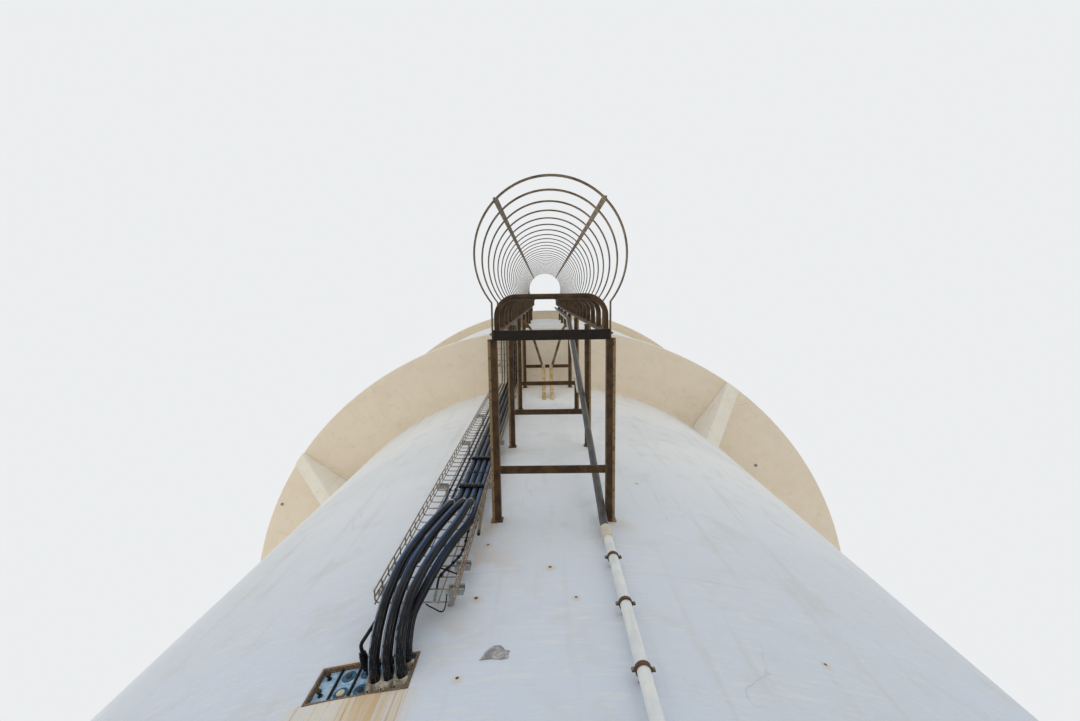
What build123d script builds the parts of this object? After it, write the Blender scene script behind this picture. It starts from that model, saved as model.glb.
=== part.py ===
from build123d import *
from math import atan2, cos, degrees, radians, sin, sqrt, tan
import os

# A round lighthouse tower with a wider equipment drum, a gallery and a lantern.
# All lengths are in millimetres. The tower's axis is Z and the ground is z = 0.
# The ladder stands in front, on the -Y side. An azimuth is counted from the front,
# positive towards +X, and the doorway is at the back.

# Heights
PLINTH_TOP = 150.0
SOFFIT_Z = 7600.0
GALLERY_SOFFIT_Z = 11500.0

# Tower, drum and slabs
TOWER_R = 3261.0
TOWER_WALL = 400.0
DRUM_OVERHANG = 669.0
DRUM_WALL = 300.0
SLAB_LIP = 53.0
SLAB_THICK = 200.0
GALLERY_LIP = 167.0
GALLERY_THICK = 200.0
HATCH_SIZE = 900.0

# Ribs under the drum's slab
RIB_FIRST_AZIMUTH = 36.0
RIB_COUNT = 4
RIB_WIDTH = 178.0
RIB_DEPTH = 600.0
RIB_TIP = 50.0
RIB_ROOT_INSET = 60.0

# Doorway at the back
DOORWAY_WIDTH = 1000.0
DOORWAY_HEIGHT = 2100.0
DOOR_FRAME_WIDTH = 60.0
DOOR_FRAME_DEPTH = 110.0
DOOR_SET_BACK = 120.0
DOOR_THICK = 50.0
LEAF_SET_BACK = 20.0
HANDLE_HEIGHT = 1050.0
HANDLE_FROM_EDGE = 90.0
HANDLE_PLATE_WIDTH = 50.0
HANDLE_PLATE_HEIGHT = 220.0
HANDLE_PLATE_THICK = 8.0
HANDLE_D = 20.0
HANDLE_REACH = 60.0
LEVER_LENGTH = 128.0

# Gallery railing
RAIL_SET_BACK = 110.0
RAIL_HEIGHT = 1100.0
RAIL_POST_D = 38.0
RAIL_TOP_D = 42.0
RAIL_BAR_D = 26.0
RAIL_BARS = 2
RAIL_POSTS = 24
RAIL_CLEARANCE = 1.0

# Lantern
LANTERN_R = 1500.0
LANTERN_BASE_HEIGHT = 800.0
LANTERN_BASE_WALL = 120.0
LANTERN_GLASS_HEIGHT = 1500.0
LANTERN_SIDES = 12
MULLION_WIDTH = 50.0
MULLION_SET_IN = 10.0
LANTERN_RING_HEIGHT = 70.0
PANE_THICK = 10.0
ROOF_EAVE = 130.0
ROOF_EAVE_HEIGHT = 90.0
ROOF_HEIGHT = 750.0
ROOF_RIM = 60.0
ROOF_CROWN = 100.0
ROOF_SHEET = 25.0
VENT_R = 230.0
VENT_NECK_R = 165.0
VENT_NECK_HEIGHT = 156.0
VENT_CAP_HEIGHT = 104.0
ROD_D = 24.0
ROD_HEIGHT = 1200.0

# Ladder, its rungs and its stand-off brackets
LADDER_STILE_X = 262.0
STILE_LEG = 40.0
STILE_THICK = 5.0
LADDER_OFF_GALLERY = 103.0
RUNG_PITCH = 300.0
RUNG_COUNT = 31
FIRST_RUNG_Z = 3920.0
RUNG_D = 27.0
RUNG_REACH = 160.0
RUNG_CORNER_R = 95.0
STILE_ABOVE = 90.0
BOTTOM_BAR_DEPTH = 48.0
BOTTOM_BAR_THICK = 10.0
BRACKET_RUNGS = 4
WALL_BRACKETS = 4
DRUM_BRACKETS = 3
BRACKET_LEG = 44.0
BRACKET_THICK = 6.0
CROSS_BAR_OFF_WALL = 258.0
CROSS_BAR_WIDTH = 40.0
FOOT_PLATE_WIDTH = 60.0
FOOT_PLATE_HEIGHT = 54.0
FOOT_PLATE_THICK = 6.0

# Safety cage
CAGE_R = 362.0
CAGE_BEHIND_RUNGS = 356.0
HOOP_WIDTH = 30.0
HOOP_THICK = 6.0
HOOP_END_INSET = 8.0
STRAP_WIDTH = 26.0
STRAP_THICK = 5.0
STRAP_AZIMUTH = 45.0
STRAP_ABOVE = 30.0
STRAP_CLEARANCE = 0.3

# Struts below the drum
STRUT_WIDTH = 30.0
STRUT_THICK = 10.0
STRUT_FOOT_X = 55.0
STRUT_KNEE_X = 200.0
STRUT_SHORT = 70.0
KNEE_WIDTH = 40.0
KNEE_FOOT_Z = 6690.0
KNEE_X = 45.0

# Cable transit in the tower wall
TRANSIT_AZIMUTH = -10.74
TRANSIT_Z = 2938.0
TRANSIT_WIDTH = 322.0
TRANSIT_HEIGHT = 146.0
TRANSIT_SHEET = 8.0
TRANSIT_DEPTH = 150.0
WIDE_COLUMNS = 3
NARROW_COLUMNS = 3
WIDE_MODULE = 58.8
TRANSIT_ROWS = 2
STAY_PLATE = 3.0
MODULE_SET_BACK = 14.0
MODULE_DEPTH = 60.0
MODULE_GAP = 0.5

# Cable tray
TRAY_LEFT = -635.0
TRAY_RIGHT = -357.0
TRAY_SHEET = 4.0
TRAY_DEPTH = 55.0
TRAY_STAND_OFF = 86.0
DRUM_TRAY_STAND_OFF = 21.5
TRAY_FOOT_Z = 3130.0
TRAY_SOFFIT_GAP = 110.0
TRAY_END_GAP = 60.0
SOFFIT_BEND_R = 90.0
CROSS_RAIL_HEIGHT = 41.0
CROSS_RAIL_DEPTH = 21.0
CROSS_RAIL_OVERHANG = 17.0
CROSS_RAIL_LENGTH = 60.0
CROSS_RAIL_RISES = (105.0, 262.0)
CROSS_RAIL_PITCH = 820.0
STEM_D = 16.0
STEM_INSET = 34.0
HANGER_D = 12.0
HANGER_INSETS = (220.0, 110.0)

# Cables
CABLE_D = 34.0
CABLE_LANE_PITCH = 36.0
FIRST_LANE_X = -487.0
LANE_RISE = 800.0
CORNER_SHARE = 0.45
THIN_CABLE_D = 12.0
THIN_LANE_X = -560.0
THIN_SHIFT = 33.0
THIN_DROP = 85.0
THIN_RISE = 160.0
SPARE_LANE_X = -530.0
SPARE_TURN_RISE = 420.0
SPARE_END_RISE = 240.0
SPARE_END_SHIFT = 12.0
SPARE_END_OUT = 10.0
CONNECTOR_D = 26.0
CONNECTOR_LENGTH = 62.0
CONNECTOR_OUT = 14.0

# The module each thick cable leaves from, and the corners of its route up to the tray
CABLE_ROUTES = (
    ((3, 0), (
        (-566.0, -3260.6, 2915.5), (-570.0, -3322.0, 2972.0), (-576.0, -3362.0, 3075.0),
        (-578.0, -3388.0, 3260.0), (-556.0, -3396.0, 3430.0), (-524.0, -3401.0, 3590.0),
        (-487.0, -3404.0, 3750.0),
    )),
    ((4, 0), (
        (-525.5, -3268.0, 2915.5), (-531.0, -3323.0, 2972.0), (-537.0, -3362.0, 3075.0),
        (-534.0, -3388.0, 3260.0), (-511.0, -3396.0, 3430.0), (-476.0, -3401.0, 3600.0),
        (-440.0, -3404.0, 3750.0),
    )),
    ((5, 0), (
        (-485.0, -3275.7, 2915.5), (-494.0, -3325.0, 2972.0), (-500.0, -3362.0, 3075.0),
        (-481.0, -3388.0, 3260.0), (-447.0, -3396.0, 3430.0), (-414.0, -3401.0, 3600.0),
        (-401.0, -3404.0, 3750.0),
    )),
    ((5, 1), (
        (-482.0, -3260.0, 2976.5), (-490.0, -3316.0, 3060.0), (-461.0, -3352.0, 3200.0),
        (-443.0, -3363.0, 3325.0), (-412.0, -3366.0, 3490.0), (-388.0, -3355.0, 3620.0),
        (-379.0, -3336.0, 3750.0),
    )),
)

# Pipes beside the ladder
PIPE_D = 40.0
PIPE_X = 236.0
PIPE_OFF_WALL = 42.0
WHITE_PIPE_TOP = 3600.0
COUPLING_D = 52.0
COUPLING_LENGTH = 100.0
GREY_PIPE_STUB = 60.0
GREY_PIPE_FOOT_BEND = 120.0
GREY_PIPE_HEAD_BEND = 300.0
GREY_PIPE_TURN_Z = 6750.0
GREY_PIPE_OFF_SLAB = 28.0
PIPE_CLAMP_PITCH = 300.0
PIPE_CLAMP_DROP = 150.0
PIPE_CLAMP_COUNT = 11
PIPE_CLAMP_HEIGHT = 22.0
PIPE_CLAMP_THICK = 4.0
PIPE_CLAMP_STEM = 16.0
PIPE_CLAMP_EAR = 14.0
PIPE_CLAMP_EAR_THICK = 6.0
CONDUIT_D = 16.0
CONDUIT_GAP = 0.5
CONDUIT_FOOT_Z = 5085.0

# How far cutters reach past a face, and how far arms are drawn into a wall before trimming
CUT = 10.0
WALL_OVERRUN = 200.0

# Values that follow from the sizes above
TOWER_IN = TOWER_R - TOWER_WALL
DRUM_R = TOWER_R + DRUM_OVERHANG
DRUM_IN = DRUM_R - DRUM_WALL
SLAB_R = DRUM_R + SLAB_LIP
GALLERY_R = DRUM_R + GALLERY_LIP
LADDER_PLANE = GALLERY_R + LADDER_OFF_GALLERY
SLAB_TOP = SOFFIT_Z + SLAB_THICK
GALLERY_TOP = GALLERY_SOFFIT_Z + GALLERY_THICK
DOORWAY_TOP = PLINTH_TOP + DOORWAY_HEIGHT
LANTERN_BASE_TOP = GALLERY_TOP + LANTERN_BASE_HEIGHT
LANTERN_TOP = LANTERN_BASE_TOP + LANTERN_GLASS_HEIGHT
EAVE_TOP = LANTERN_TOP + ROOF_EAVE_HEIGHT
ROOF_TOP = EAVE_TOP + ROOF_HEIGHT
VENT_TOP = ROOF_TOP + VENT_NECK_HEIGHT + VENT_CAP_HEIGHT
LAST_RUNG_Z = FIRST_RUNG_Z + (RUNG_COUNT - 1) * RUNG_PITCH
STILE_TOP = LAST_RUNG_Z + STILE_ABOVE
FIRST_BRACKET_Z = FIRST_RUNG_Z - RUNG_D / 2 - BRACKET_LEG / 2
STILE_FOOT = FIRST_BRACKET_Z - BRACKET_LEG / 2
STILE_OUTER_X = LADDER_STILE_X + STILE_LEG / 2
BRACKET_PITCH = BRACKET_RUNGS * RUNG_PITCH
STILE_BACK = LADDER_PLANE - STILE_LEG
CAGE_Y = -(LADDER_PLANE + CAGE_BEHIND_RUNGS)
CROSS_BAR_Y = -(TOWER_R + CROSS_BAR_OFF_WALL)
TRAY_MIDDLE = (TRAY_LEFT + TRAY_RIGHT) / 2
TRAY_WIDTH = TRAY_RIGHT - TRAY_LEFT
TRAY_SOFFIT_Z = SOFFIT_Z - TRAY_SOFFIT_GAP
TRAY_SOFFIT_BASE = TRAY_SOFFIT_Z - CABLE_D / 2
PIPE_Y = -(sqrt(TOWER_R**2 - PIPE_X**2) + PIPE_OFF_WALL)
GREY_PIPE_Y = -(GALLERY_R + GREY_PIPE_OFF_SLAB)
COUPLING_TOP = WHITE_PIPE_TOP + COUPLING_LENGTH

UPRIGHT = (Align.CENTER, Align.CENTER, Align.MIN)


def around(radius, azimuth, z=0.0):
    """Point at a radius from the tower's axis, at an azimuth from the front."""
    turn = radians(azimuth)
    return Vector(radius * sin(turn), -radius * cos(turn), z)


def wall_y(radius, x):
    """Y of a round wall's front face at a distance x from the middle."""
    return -sqrt(radius**2 - x**2)


def block(x0, x1, y0, y1, z0, z1):
    """Box between two corners."""
    solid = Box(x1 - x0, y1 - y0, z1 - z0, align=(Align.MIN, Align.MIN, Align.MIN))
    return Pos(x0, y0, z0) * solid


def disc(radius, z0, z1):
    """Upright cylinder on the tower's axis."""
    return Pos(0, 0, z0) * Cylinder(radius, z1 - z0, align=UPRIGHT)


def ring_sector(inner, outer, z0, z1, start, stop):
    """Piece of a round wall between two azimuths."""
    middle = (start + stop) / 2
    outside = ThreePointArc(around(outer, start), around(outer, middle), around(outer, stop))
    inside = ThreePointArc(around(inner, stop), around(inner, middle), around(inner, start))
    closing = [Line(outside @ 1, inside @ 0), Line(inside @ 1, outside @ 0)]
    face = make_face([outside, inside] + closing)
    return Pos(0, 0, z0) * extrude(face, amount=z1 - z0, dir=(0, 0, 1))


def tube_between(start, end, diameter):
    """Round bar from one point to another."""
    axis = Vector(*end) - Vector(*start)
    return Solid.make_cylinder(diameter / 2, axis.length, Plane(origin=start, z_dir=axis))


def bar_between(start, end, width, thick):
    """Flat bar from one point to another, with its width level."""
    axis = Vector(*end) - Vector(*start)
    level = Vector(axis.Y, -axis.X, 0)
    place = Plane(origin=start, x_dir=level, z_dir=axis)
    return place * Box(width, thick, axis.length, align=UPRIGHT)


def swept_tube(points, bend_radii, diameter):
    """Round tube along straight runs joined by arcs."""
    path = FilletPolyline(*points, radius=bend_radii)
    section = Plane(origin=path @ 0, z_dir=path % 0) * Circle(diameter / 2)
    return sweep(section, path=path)


def arc_radii(points):
    """Arc radius at each corner, as large as its two runs allow."""
    runs = [Vector(*end) - Vector(*start) for start, end in zip(points, points[1:])]
    bend_radii = []
    for first, second in zip(runs, runs[1:]):
        half_turn = radians(first.get_angle(second)) / 2
        shorter = min(first.length, second.length, 2 * SOFFIT_BEND_R)
        bend_radii.append(CORNER_SHARE * shorter / tan(half_turn))
    return bend_radii


def hatch(z0, z1):
    """Opening through a floor, towards the back of the lantern."""
    half = HATCH_SIZE / 2
    return block(-half, half, 0, HATCH_SIZE, z0 - CUT, z1 + CUT)


def in_transit(shape):
    """Place a shape that is drawn at the front of the wall at the transit."""
    return Rot(0, 0, TRANSIT_AZIMUTH) * Pos(0, 0, TRANSIT_Z) * shape


def transit_face_y():
    """Y of the wall's face at the transit's side edges, before it is turned."""
    return wall_y(TOWER_R, TRANSIT_WIDTH / 2)


def module_columns():
    """Left and right edge of each column of modules, wide ones first."""
    columns = WIDE_COLUMNS + NARROW_COLUMNS
    clear_width = TRANSIT_WIDTH - 2 * TRANSIT_SHEET - (columns - 1) * STAY_PLATE
    narrow = (clear_width - WIDE_COLUMNS * WIDE_MODULE) / NARROW_COLUMNS
    edges = []
    x = TRANSIT_SHEET - TRANSIT_WIDTH / 2
    for width in [WIDE_MODULE] * WIDE_COLUMNS + [narrow] * NARROW_COLUMNS:
        edges.append((x, x + width))
        x += width + STAY_PLATE
    return edges


def module_height():
    """Height of one row of modules."""
    return (TRANSIT_HEIGHT - 2 * TRANSIT_SHEET) / TRANSIT_ROWS


def module_centre(column, row):
    """Middle of one module's front face, before it is turned into place."""
    x0, x1 = module_columns()[column]
    z = (row - (TRANSIT_ROWS - 1) / 2) * module_height()
    return Vector((x0 + x1) / 2, transit_face_y() + MODULE_SET_BACK, z)


def transit_point(column, row, outwards=0):
    """Point in front of a module, in the tower's own frame."""
    local = module_centre(column, row)
    local = Vector(local.X, local.Y - outwards, local.Z + TRANSIT_Z)
    return local.rotate(Axis.Z, TRANSIT_AZIMUTH)


def floors():
    """Ground floor, drum slab and gallery slab."""
    drum_slab = disc(SLAB_R, SOFFIT_Z, SLAB_TOP) - hatch(SOFFIT_Z, SLAB_TOP)
    gallery = disc(GALLERY_R, GALLERY_SOFFIT_Z, GALLERY_TOP) - hatch(GALLERY_SOFFIT_Z, GALLERY_TOP)
    return {
        "ground_floor": disc(TOWER_R, 0, PLINTH_TOP),
        "drum_slab": drum_slab,
        "gallery_slab": gallery,
    }


def tower_walls():
    """Round tower wall in four quarters, the back one split at the doorway."""
    height = (PLINTH_TOP, SOFFIT_Z)
    pocket = block(
        -TRANSIT_WIDTH / 2, TRANSIT_WIDTH / 2, -TOWER_R - WALL_OVERRUN, -TOWER_IN + WALL_OVERRUN,
        -TRANSIT_HEIGHT / 2, TRANSIT_HEIGHT / 2,
    )
    front = ring_sector(TOWER_IN, TOWER_R, *height, -45, 45) - in_transit(pocket)
    right = ring_sector(TOWER_IN, TOWER_R, *height, 45, 135)
    back = ring_sector(TOWER_IN, TOWER_R, *height, 135, 225)
    left = ring_sector(TOWER_IN, TOWER_R, *height, 225, 315)
    half = DOORWAY_WIDTH / 2
    reach = TOWER_R + CUT
    top = SOFFIT_Z + CUT
    return {
        "tower_wall_front": front,
        "tower_wall_right": right,
        "tower_wall_left": left,
        "tower_wall_back_right": back & block(half, reach, 0, reach, 0, top),
        "tower_wall_back_left": back & block(-reach, -half, 0, reach, 0, top),
        "tower_wall_over_door": back & block(-half, half, 0, reach, DOORWAY_TOP, top),
    }


def drum_walls():
    """Wall of the wider drum, in four quarters."""
    names = ("drum_wall_front", "drum_wall_right", "drum_wall_back", "drum_wall_left")
    walls = {}
    for turn, name in enumerate(names):
        start = 90 * turn - 45
        walls[name] = ring_sector(DRUM_IN, DRUM_R, SLAB_TOP, GALLERY_SOFFIT_Z, start, start + 90)
    return walls


def slab_ribs():
    """Triangular ribs that carry the drum's slab on the tower wall."""
    root = TOWER_R - RIB_ROOT_INSET
    tip = SLAB_R + CUT
    outline = Polyline(
        (0, -root, SOFFIT_Z), (0, -tip, SOFFIT_Z), (0, -tip, SOFFIT_Z - RIB_TIP),
        (0, -root, SOFFIT_Z - RIB_DEPTH), close=True,
    )
    plate = extrude(make_face(outline), amount=RIB_WIDTH / 2, both=True, dir=(1, 0, 0))
    plate = (plate & disc(SLAB_R, 0, SOFFIT_Z)) - disc(TOWER_R, 0, SOFFIT_Z)
    spacing = 360 / RIB_COUNT
    ribs = [Rot(0, 0, RIB_FIRST_AZIMUTH + index * spacing) * plate for index in range(RIB_COUNT)]
    return {"slab_ribs": Compound(children=ribs)}


def door():
    """Door frame in the doorway, its closed leaf and its handle."""
    half = DOORWAY_WIDTH / 2
    outer = -wall_y(TOWER_R, half) - DOOR_SET_BACK
    inner = outer - DOOR_FRAME_DEPTH
    frame = block(-half, half, inner, outer, PLINTH_TOP, DOORWAY_TOP)
    clear = half - DOOR_FRAME_WIDTH
    clear_top = DOORWAY_TOP - DOOR_FRAME_WIDTH
    frame -= block(-clear, clear, inner - CUT, outer + CUT, PLINTH_TOP - CUT, clear_top)
    leaf_y = outer - LEAF_SET_BACK
    leaf = block(-clear, clear, leaf_y - DOOR_THICK, leaf_y, PLINTH_TOP, clear_top)
    return {"door_frame": frame, "door_leaf": leaf, "door_handle": door_handle(clear, leaf_y)}


def door_handle(clear, leaf_y):
    """Lever handle on a back plate, near the leaf's right edge."""
    x = clear - HANDLE_FROM_EDGE
    z = PLINTH_TOP + HANDLE_HEIGHT
    plate_y = leaf_y + HANDLE_PLATE_THICK
    lever_y = leaf_y + HANDLE_REACH - HANDLE_D / 2
    plate = block(
        x - HANDLE_PLATE_WIDTH / 2, x + HANDLE_PLATE_WIDTH / 2, leaf_y, plate_y,
        z - HANDLE_PLATE_HEIGHT / 2, z + HANDLE_PLATE_HEIGHT / 2,
    )
    spindle = tube_between((x, plate_y, z), (x, leaf_y + HANDLE_REACH, z), HANDLE_D)
    lever_end = x + HANDLE_PLATE_THICK
    lever = tube_between((lever_end, lever_y, z), (lever_end - LEVER_LENGTH, lever_y, z), HANDLE_D)
    return plate + spindle + lever


def railing_post(azimuth):
    """One upright of the gallery railing, up to the middle of the top rail."""
    foot = around(GALLERY_R - RAIL_SET_BACK, azimuth, GALLERY_TOP)
    return tube_between(foot, foot + Vector(0, 0, RAIL_HEIGHT - RAIL_TOP_D / 2), RAIL_POST_D)


def railing_bay(azimuth, spacing):
    """One post and the bars that run from it to the next post."""
    radius = GALLERY_R - RAIL_SET_BACK
    bay = railing_post(azimuth)
    start = around(radius, azimuth)
    end = around(radius, azimuth + spacing)
    end -= (end - start).normalized() * (RAIL_POST_D / 2 + RAIL_CLEARANCE)
    step = RAIL_HEIGHT / (RAIL_BARS + 1)
    bars = [(GALLERY_TOP + (index + 1) * step, RAIL_BAR_D) for index in range(RAIL_BARS)]
    bars.append((GALLERY_TOP + RAIL_HEIGHT - RAIL_TOP_D / 2, RAIL_TOP_D))
    for z, diameter in bars:
        lift = Vector(0, 0, z)
        bay += tube_between(start + lift, end + lift, diameter)
    return bay


def railings():
    """Gallery railing all round, open where the ladder arrives."""
    spacing = 360 / RAIL_POSTS
    bays = RAIL_POSTS - 1
    solids = [railing_bay((index + 0.5) * spacing, spacing) for index in range(bays)]
    solids.append(railing_post((bays + 0.5) * spacing))
    return {"gallery_railing": Compound(children=solids)}


def lantern_frame():
    """Bottom and top ring of the lantern and a mullion at each of its corners."""
    inner_r = LANTERN_R - MULLION_WIDTH
    prism = RegularPolygon(LANTERN_R, LANTERN_SIDES) - RegularPolygon(inner_r, LANTERN_SIDES)
    ring = extrude(prism, amount=LANTERN_RING_HEIGHT, dir=(0, 0, 1))
    frame = Pos(0, 0, LANTERN_BASE_TOP) * ring + Pos(0, 0, LANTERN_TOP - LANTERN_RING_HEIGHT) * ring
    half = MULLION_WIDTH / 2
    corner = LANTERN_R - half - MULLION_SET_IN
    mullion = block(corner - half, corner + half, -half, half, LANTERN_BASE_TOP, LANTERN_TOP)
    for index in range(LANTERN_SIDES):
        frame += Rot(0, 0, index * 360 / LANTERN_SIDES) * mullion
    return frame


def lantern_panes():
    """One pane between each pair of mullions."""
    turn = 360 / LANTERN_SIDES
    half_turn = radians(turn / 2)
    half = PANE_THICK / 2
    middle = LANTERN_R * cos(half_turn) - MULLION_WIDTH / 2
    pane_half = ((middle - half) * sin(half_turn) - MULLION_WIDTH / 2) / cos(half_turn)
    z0 = LANTERN_BASE_TOP + LANTERN_RING_HEIGHT
    z1 = LANTERN_TOP - LANTERN_RING_HEIGHT
    pane = block(middle - half, middle + half, -pane_half, pane_half, z0, z1)
    panes = [Rot(0, 0, (index + 0.5) * turn) * pane for index in range(LANTERN_SIDES)]
    return Compound(children=panes)


def lantern_roof():
    """Hollow conical roof with an upright eave band."""
    eave_r = LANTERN_R + ROOF_EAVE
    hollow_r = LANTERN_R - MULLION_WIDTH - ROOF_RIM
    place = Pos(0, 0, EAVE_TOP)
    roof = disc(eave_r, LANTERN_TOP, EAVE_TOP) + place * Cone(eave_r, VENT_R, ROOF_HEIGHT, align=UPRIGHT)
    hollow = Cone(hollow_r, VENT_R - ROOF_SHEET, ROOF_HEIGHT - ROOF_CROWN, align=UPRIGHT)
    return roof - disc(hollow_r, LANTERN_TOP - CUT, EAVE_TOP) - place * hollow


def lantern():
    """Lantern above the gallery: base, frame, panes, roof, vent and rod."""
    base = disc(LANTERN_R, GALLERY_TOP, LANTERN_BASE_TOP)
    base -= disc(LANTERN_R - LANTERN_BASE_WALL, GALLERY_TOP - CUT, LANTERN_BASE_TOP + CUT)
    neck_top = ROOF_TOP + VENT_NECK_HEIGHT
    cap = Pos(0, 0, neck_top) * Cone(VENT_R, ROD_D, VENT_CAP_HEIGHT, align=UPRIGHT)
    return {
        "lantern_base": base,
        "lantern_frame": lantern_frame(),
        "lantern_glass": lantern_panes(),
        "lantern_roof": lantern_roof(),
        "roof_vent": disc(VENT_NECK_R, ROOF_TOP, neck_top) + cap,
        "lightning_rod": tube_between((0, 0, VENT_TOP), (0, 0, VENT_TOP + ROD_HEIGHT), ROD_D),
    }


def angle_section(leg, thick):
    """Angle section with its corner at the origin and its legs along +X and +Y."""
    return make_face(
        Polyline((0, 0), (leg, 0), (leg, thick), (thick, thick), (thick, leg), (0, leg), close=True)
    )


def ladder_stiles():
    """Two upright angles, each with one leg in the rungs' plane."""
    section = angle_section(STILE_LEG, STILE_THICK)
    upright = extrude(section, amount=STILE_TOP - STILE_FOOT, dir=(0, 0, 1))
    left = Pos(-STILE_OUTER_X, -LADDER_PLANE, STILE_FOOT) * upright
    return {"ladder_stile_left": left, "ladder_stile_right": mirror(left, about=Plane.YZ)}


def ladder_rungs():
    """U-shaped rungs that stand out from the stiles, and the bar below them."""
    y0 = -LADDER_PLANE
    y1 = y0 - RUNG_REACH
    x = LADDER_STILE_X
    points = [(-x, y0, 0), (-x, y1, 0), (x, y1, 0), (x, y0, 0)]
    rung = swept_tube(points, [RUNG_CORNER_R, RUNG_CORNER_R], RUNG_D)
    rungs = [Pos(0, 0, FIRST_RUNG_Z + index * RUNG_PITCH) * rung for index in range(RUNG_COUNT)]
    half = LADDER_STILE_X + RUNG_D / 2
    middle_y = y0 + STILE_LEG / 2
    half_depth = BOTTOM_BAR_DEPTH / 2
    bar = block(
        -half, half, middle_y - half_depth, middle_y + half_depth,
        STILE_FOOT - BOTTOM_BAR_THICK, STILE_FOOT,
    )
    return {"ladder_rungs": Compound(children=rungs), "ladder_bottom_bar": bar}


def bracket_arm(side, z, radius):
    """One level angle from the back of a stile to a round wall."""
    section = angle_section(BRACKET_LEG, BRACKET_THICK)
    place = Plane(origin=(0, 0, 0), x_dir=(1, 0, 0), z_dir=(0, -1, 0))
    start_y = -(radius - WALL_OVERRUN)
    arm = extrude(place * section, amount=STILE_BACK + start_y, dir=(0, -1, 0))
    arm = Pos(STILE_OUTER_X - BRACKET_LEG / 2, start_y, z - BRACKET_LEG / 2) * arm
    arm -= disc(radius, 0, LANTERN_TOP)
    return arm if side > 0 else mirror(arm, about=Plane.YZ)


def foot_plate(side, z, radius):
    """Plate against a round wall at the end of a bracket's arm."""
    azimuth = degrees(atan2(STILE_OUTER_X, -wall_y(radius, STILE_OUTER_X)))
    plate = block(
        -FOOT_PLATE_WIDTH / 2, FOOT_PLATE_WIDTH / 2, -radius - FOOT_PLATE_THICK, -radius + WALL_OVERRUN,
        z - FOOT_PLATE_HEIGHT / 2, z + FOOT_PLATE_HEIGHT / 2,
    )
    return Rot(0, 0, side * azimuth) * plate - disc(radius, 0, LANTERN_TOP)


def wall_brackets():
    """Stand-off frames that hold the ladder's lower part off the tower wall."""
    brackets = []
    inner = STILE_OUTER_X - BRACKET_LEG / 2
    front = CROSS_BAR_Y - CROSS_BAR_WIDTH / 2
    back = CROSS_BAR_Y + CROSS_BAR_WIDTH / 2
    for index in range(WALL_BRACKETS):
        z = FIRST_BRACKET_Z + index * BRACKET_PITCH
        low = z - BRACKET_LEG / 2
        frame = block(-inner, inner, front, back, low, low + BRACKET_THICK)
        frame += block(-inner, inner, back - BRACKET_THICK, back, low, low + BRACKET_LEG)
        for side in (-1, 1):
            frame += bracket_arm(side, z, TOWER_R)
            frame += foot_plate(side, z, TOWER_R)
        brackets.append(frame)
    return {"wall_brackets": Compound(children=brackets)}


def drum_brackets():
    """Short arms that hold the ladder off the drum wall and the gallery slab."""
    solids = []
    for index in range(WALL_BRACKETS, WALL_BRACKETS + DRUM_BRACKETS):
        z = FIRST_BRACKET_Z + index * BRACKET_PITCH
        for side in (-1, 1):
            solids.append(bracket_arm(side, z, DRUM_R) + foot_plate(side, z, DRUM_R))
    edge_z = GALLERY_SOFFIT_Z + GALLERY_THICK / 2
    for side in (-1, 1):
        solids.append(bracket_arm(side, edge_z, GALLERY_R))
    return {"drum_brackets": Compound(children=solids)}


def struts():
    """Flat struts and knee braces of the uppermost wall bracket."""
    low = FIRST_BRACKET_Z + (WALL_BRACKETS - 1) * BRACKET_PITCH - BRACKET_LEG / 2
    z = low - STRUT_THICK / 2
    under = low - STRUT_THICK
    foot_y = CROSS_BAR_Y - CROSS_BAR_WIDTH / 2 + STRUT_WIDTH
    above = block(
        -STILE_OUTER_X, STILE_OUTER_X, CROSS_BAR_Y - WALL_OVERRUN, CROSS_BAR_Y + WALL_OVERRUN,
        under, SOFFIT_Z,
    )
    solids = []
    knees = []
    for side in (-1, 1):
        knee = (side * STRUT_KNEE_X, -SLAB_R, z)
        head = (side * STILE_OUTER_X, -(STILE_BACK - STRUT_SHORT), z)
        first = bar_between((side * STRUT_FOOT_X, foot_y, z), knee, STRUT_WIDTH, STRUT_THICK)
        second = bar_between(knee, head, STRUT_WIDTH, STRUT_THICK)
        solids.append(first + second + Pos(*knee) * Cylinder(STRUT_WIDTH / 2, STRUT_THICK))
        brace_foot = (side * KNEE_X, wall_y(TOWER_R, KNEE_X) + KNEE_WIDTH, KNEE_FOOT_Z)
        brace = bar_between(brace_foot, (side * KNEE_X, CROSS_BAR_Y, under), KNEE_WIDTH, KNEE_WIDTH)
        knees.append(brace - disc(TOWER_R, 0, SOFFIT_Z) - above)
    return {"ladder_struts": Compound(children=solids), "knee_braces": Compound(children=knees)}


def hoop_kink():
    """Where a hoop leaves its arc for the straight run along the stile."""
    kink_x = STILE_OUTER_X + HOOP_THICK / 2
    return kink_x, CAGE_Y + sqrt(CAGE_R**2 - kink_x**2)


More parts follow.
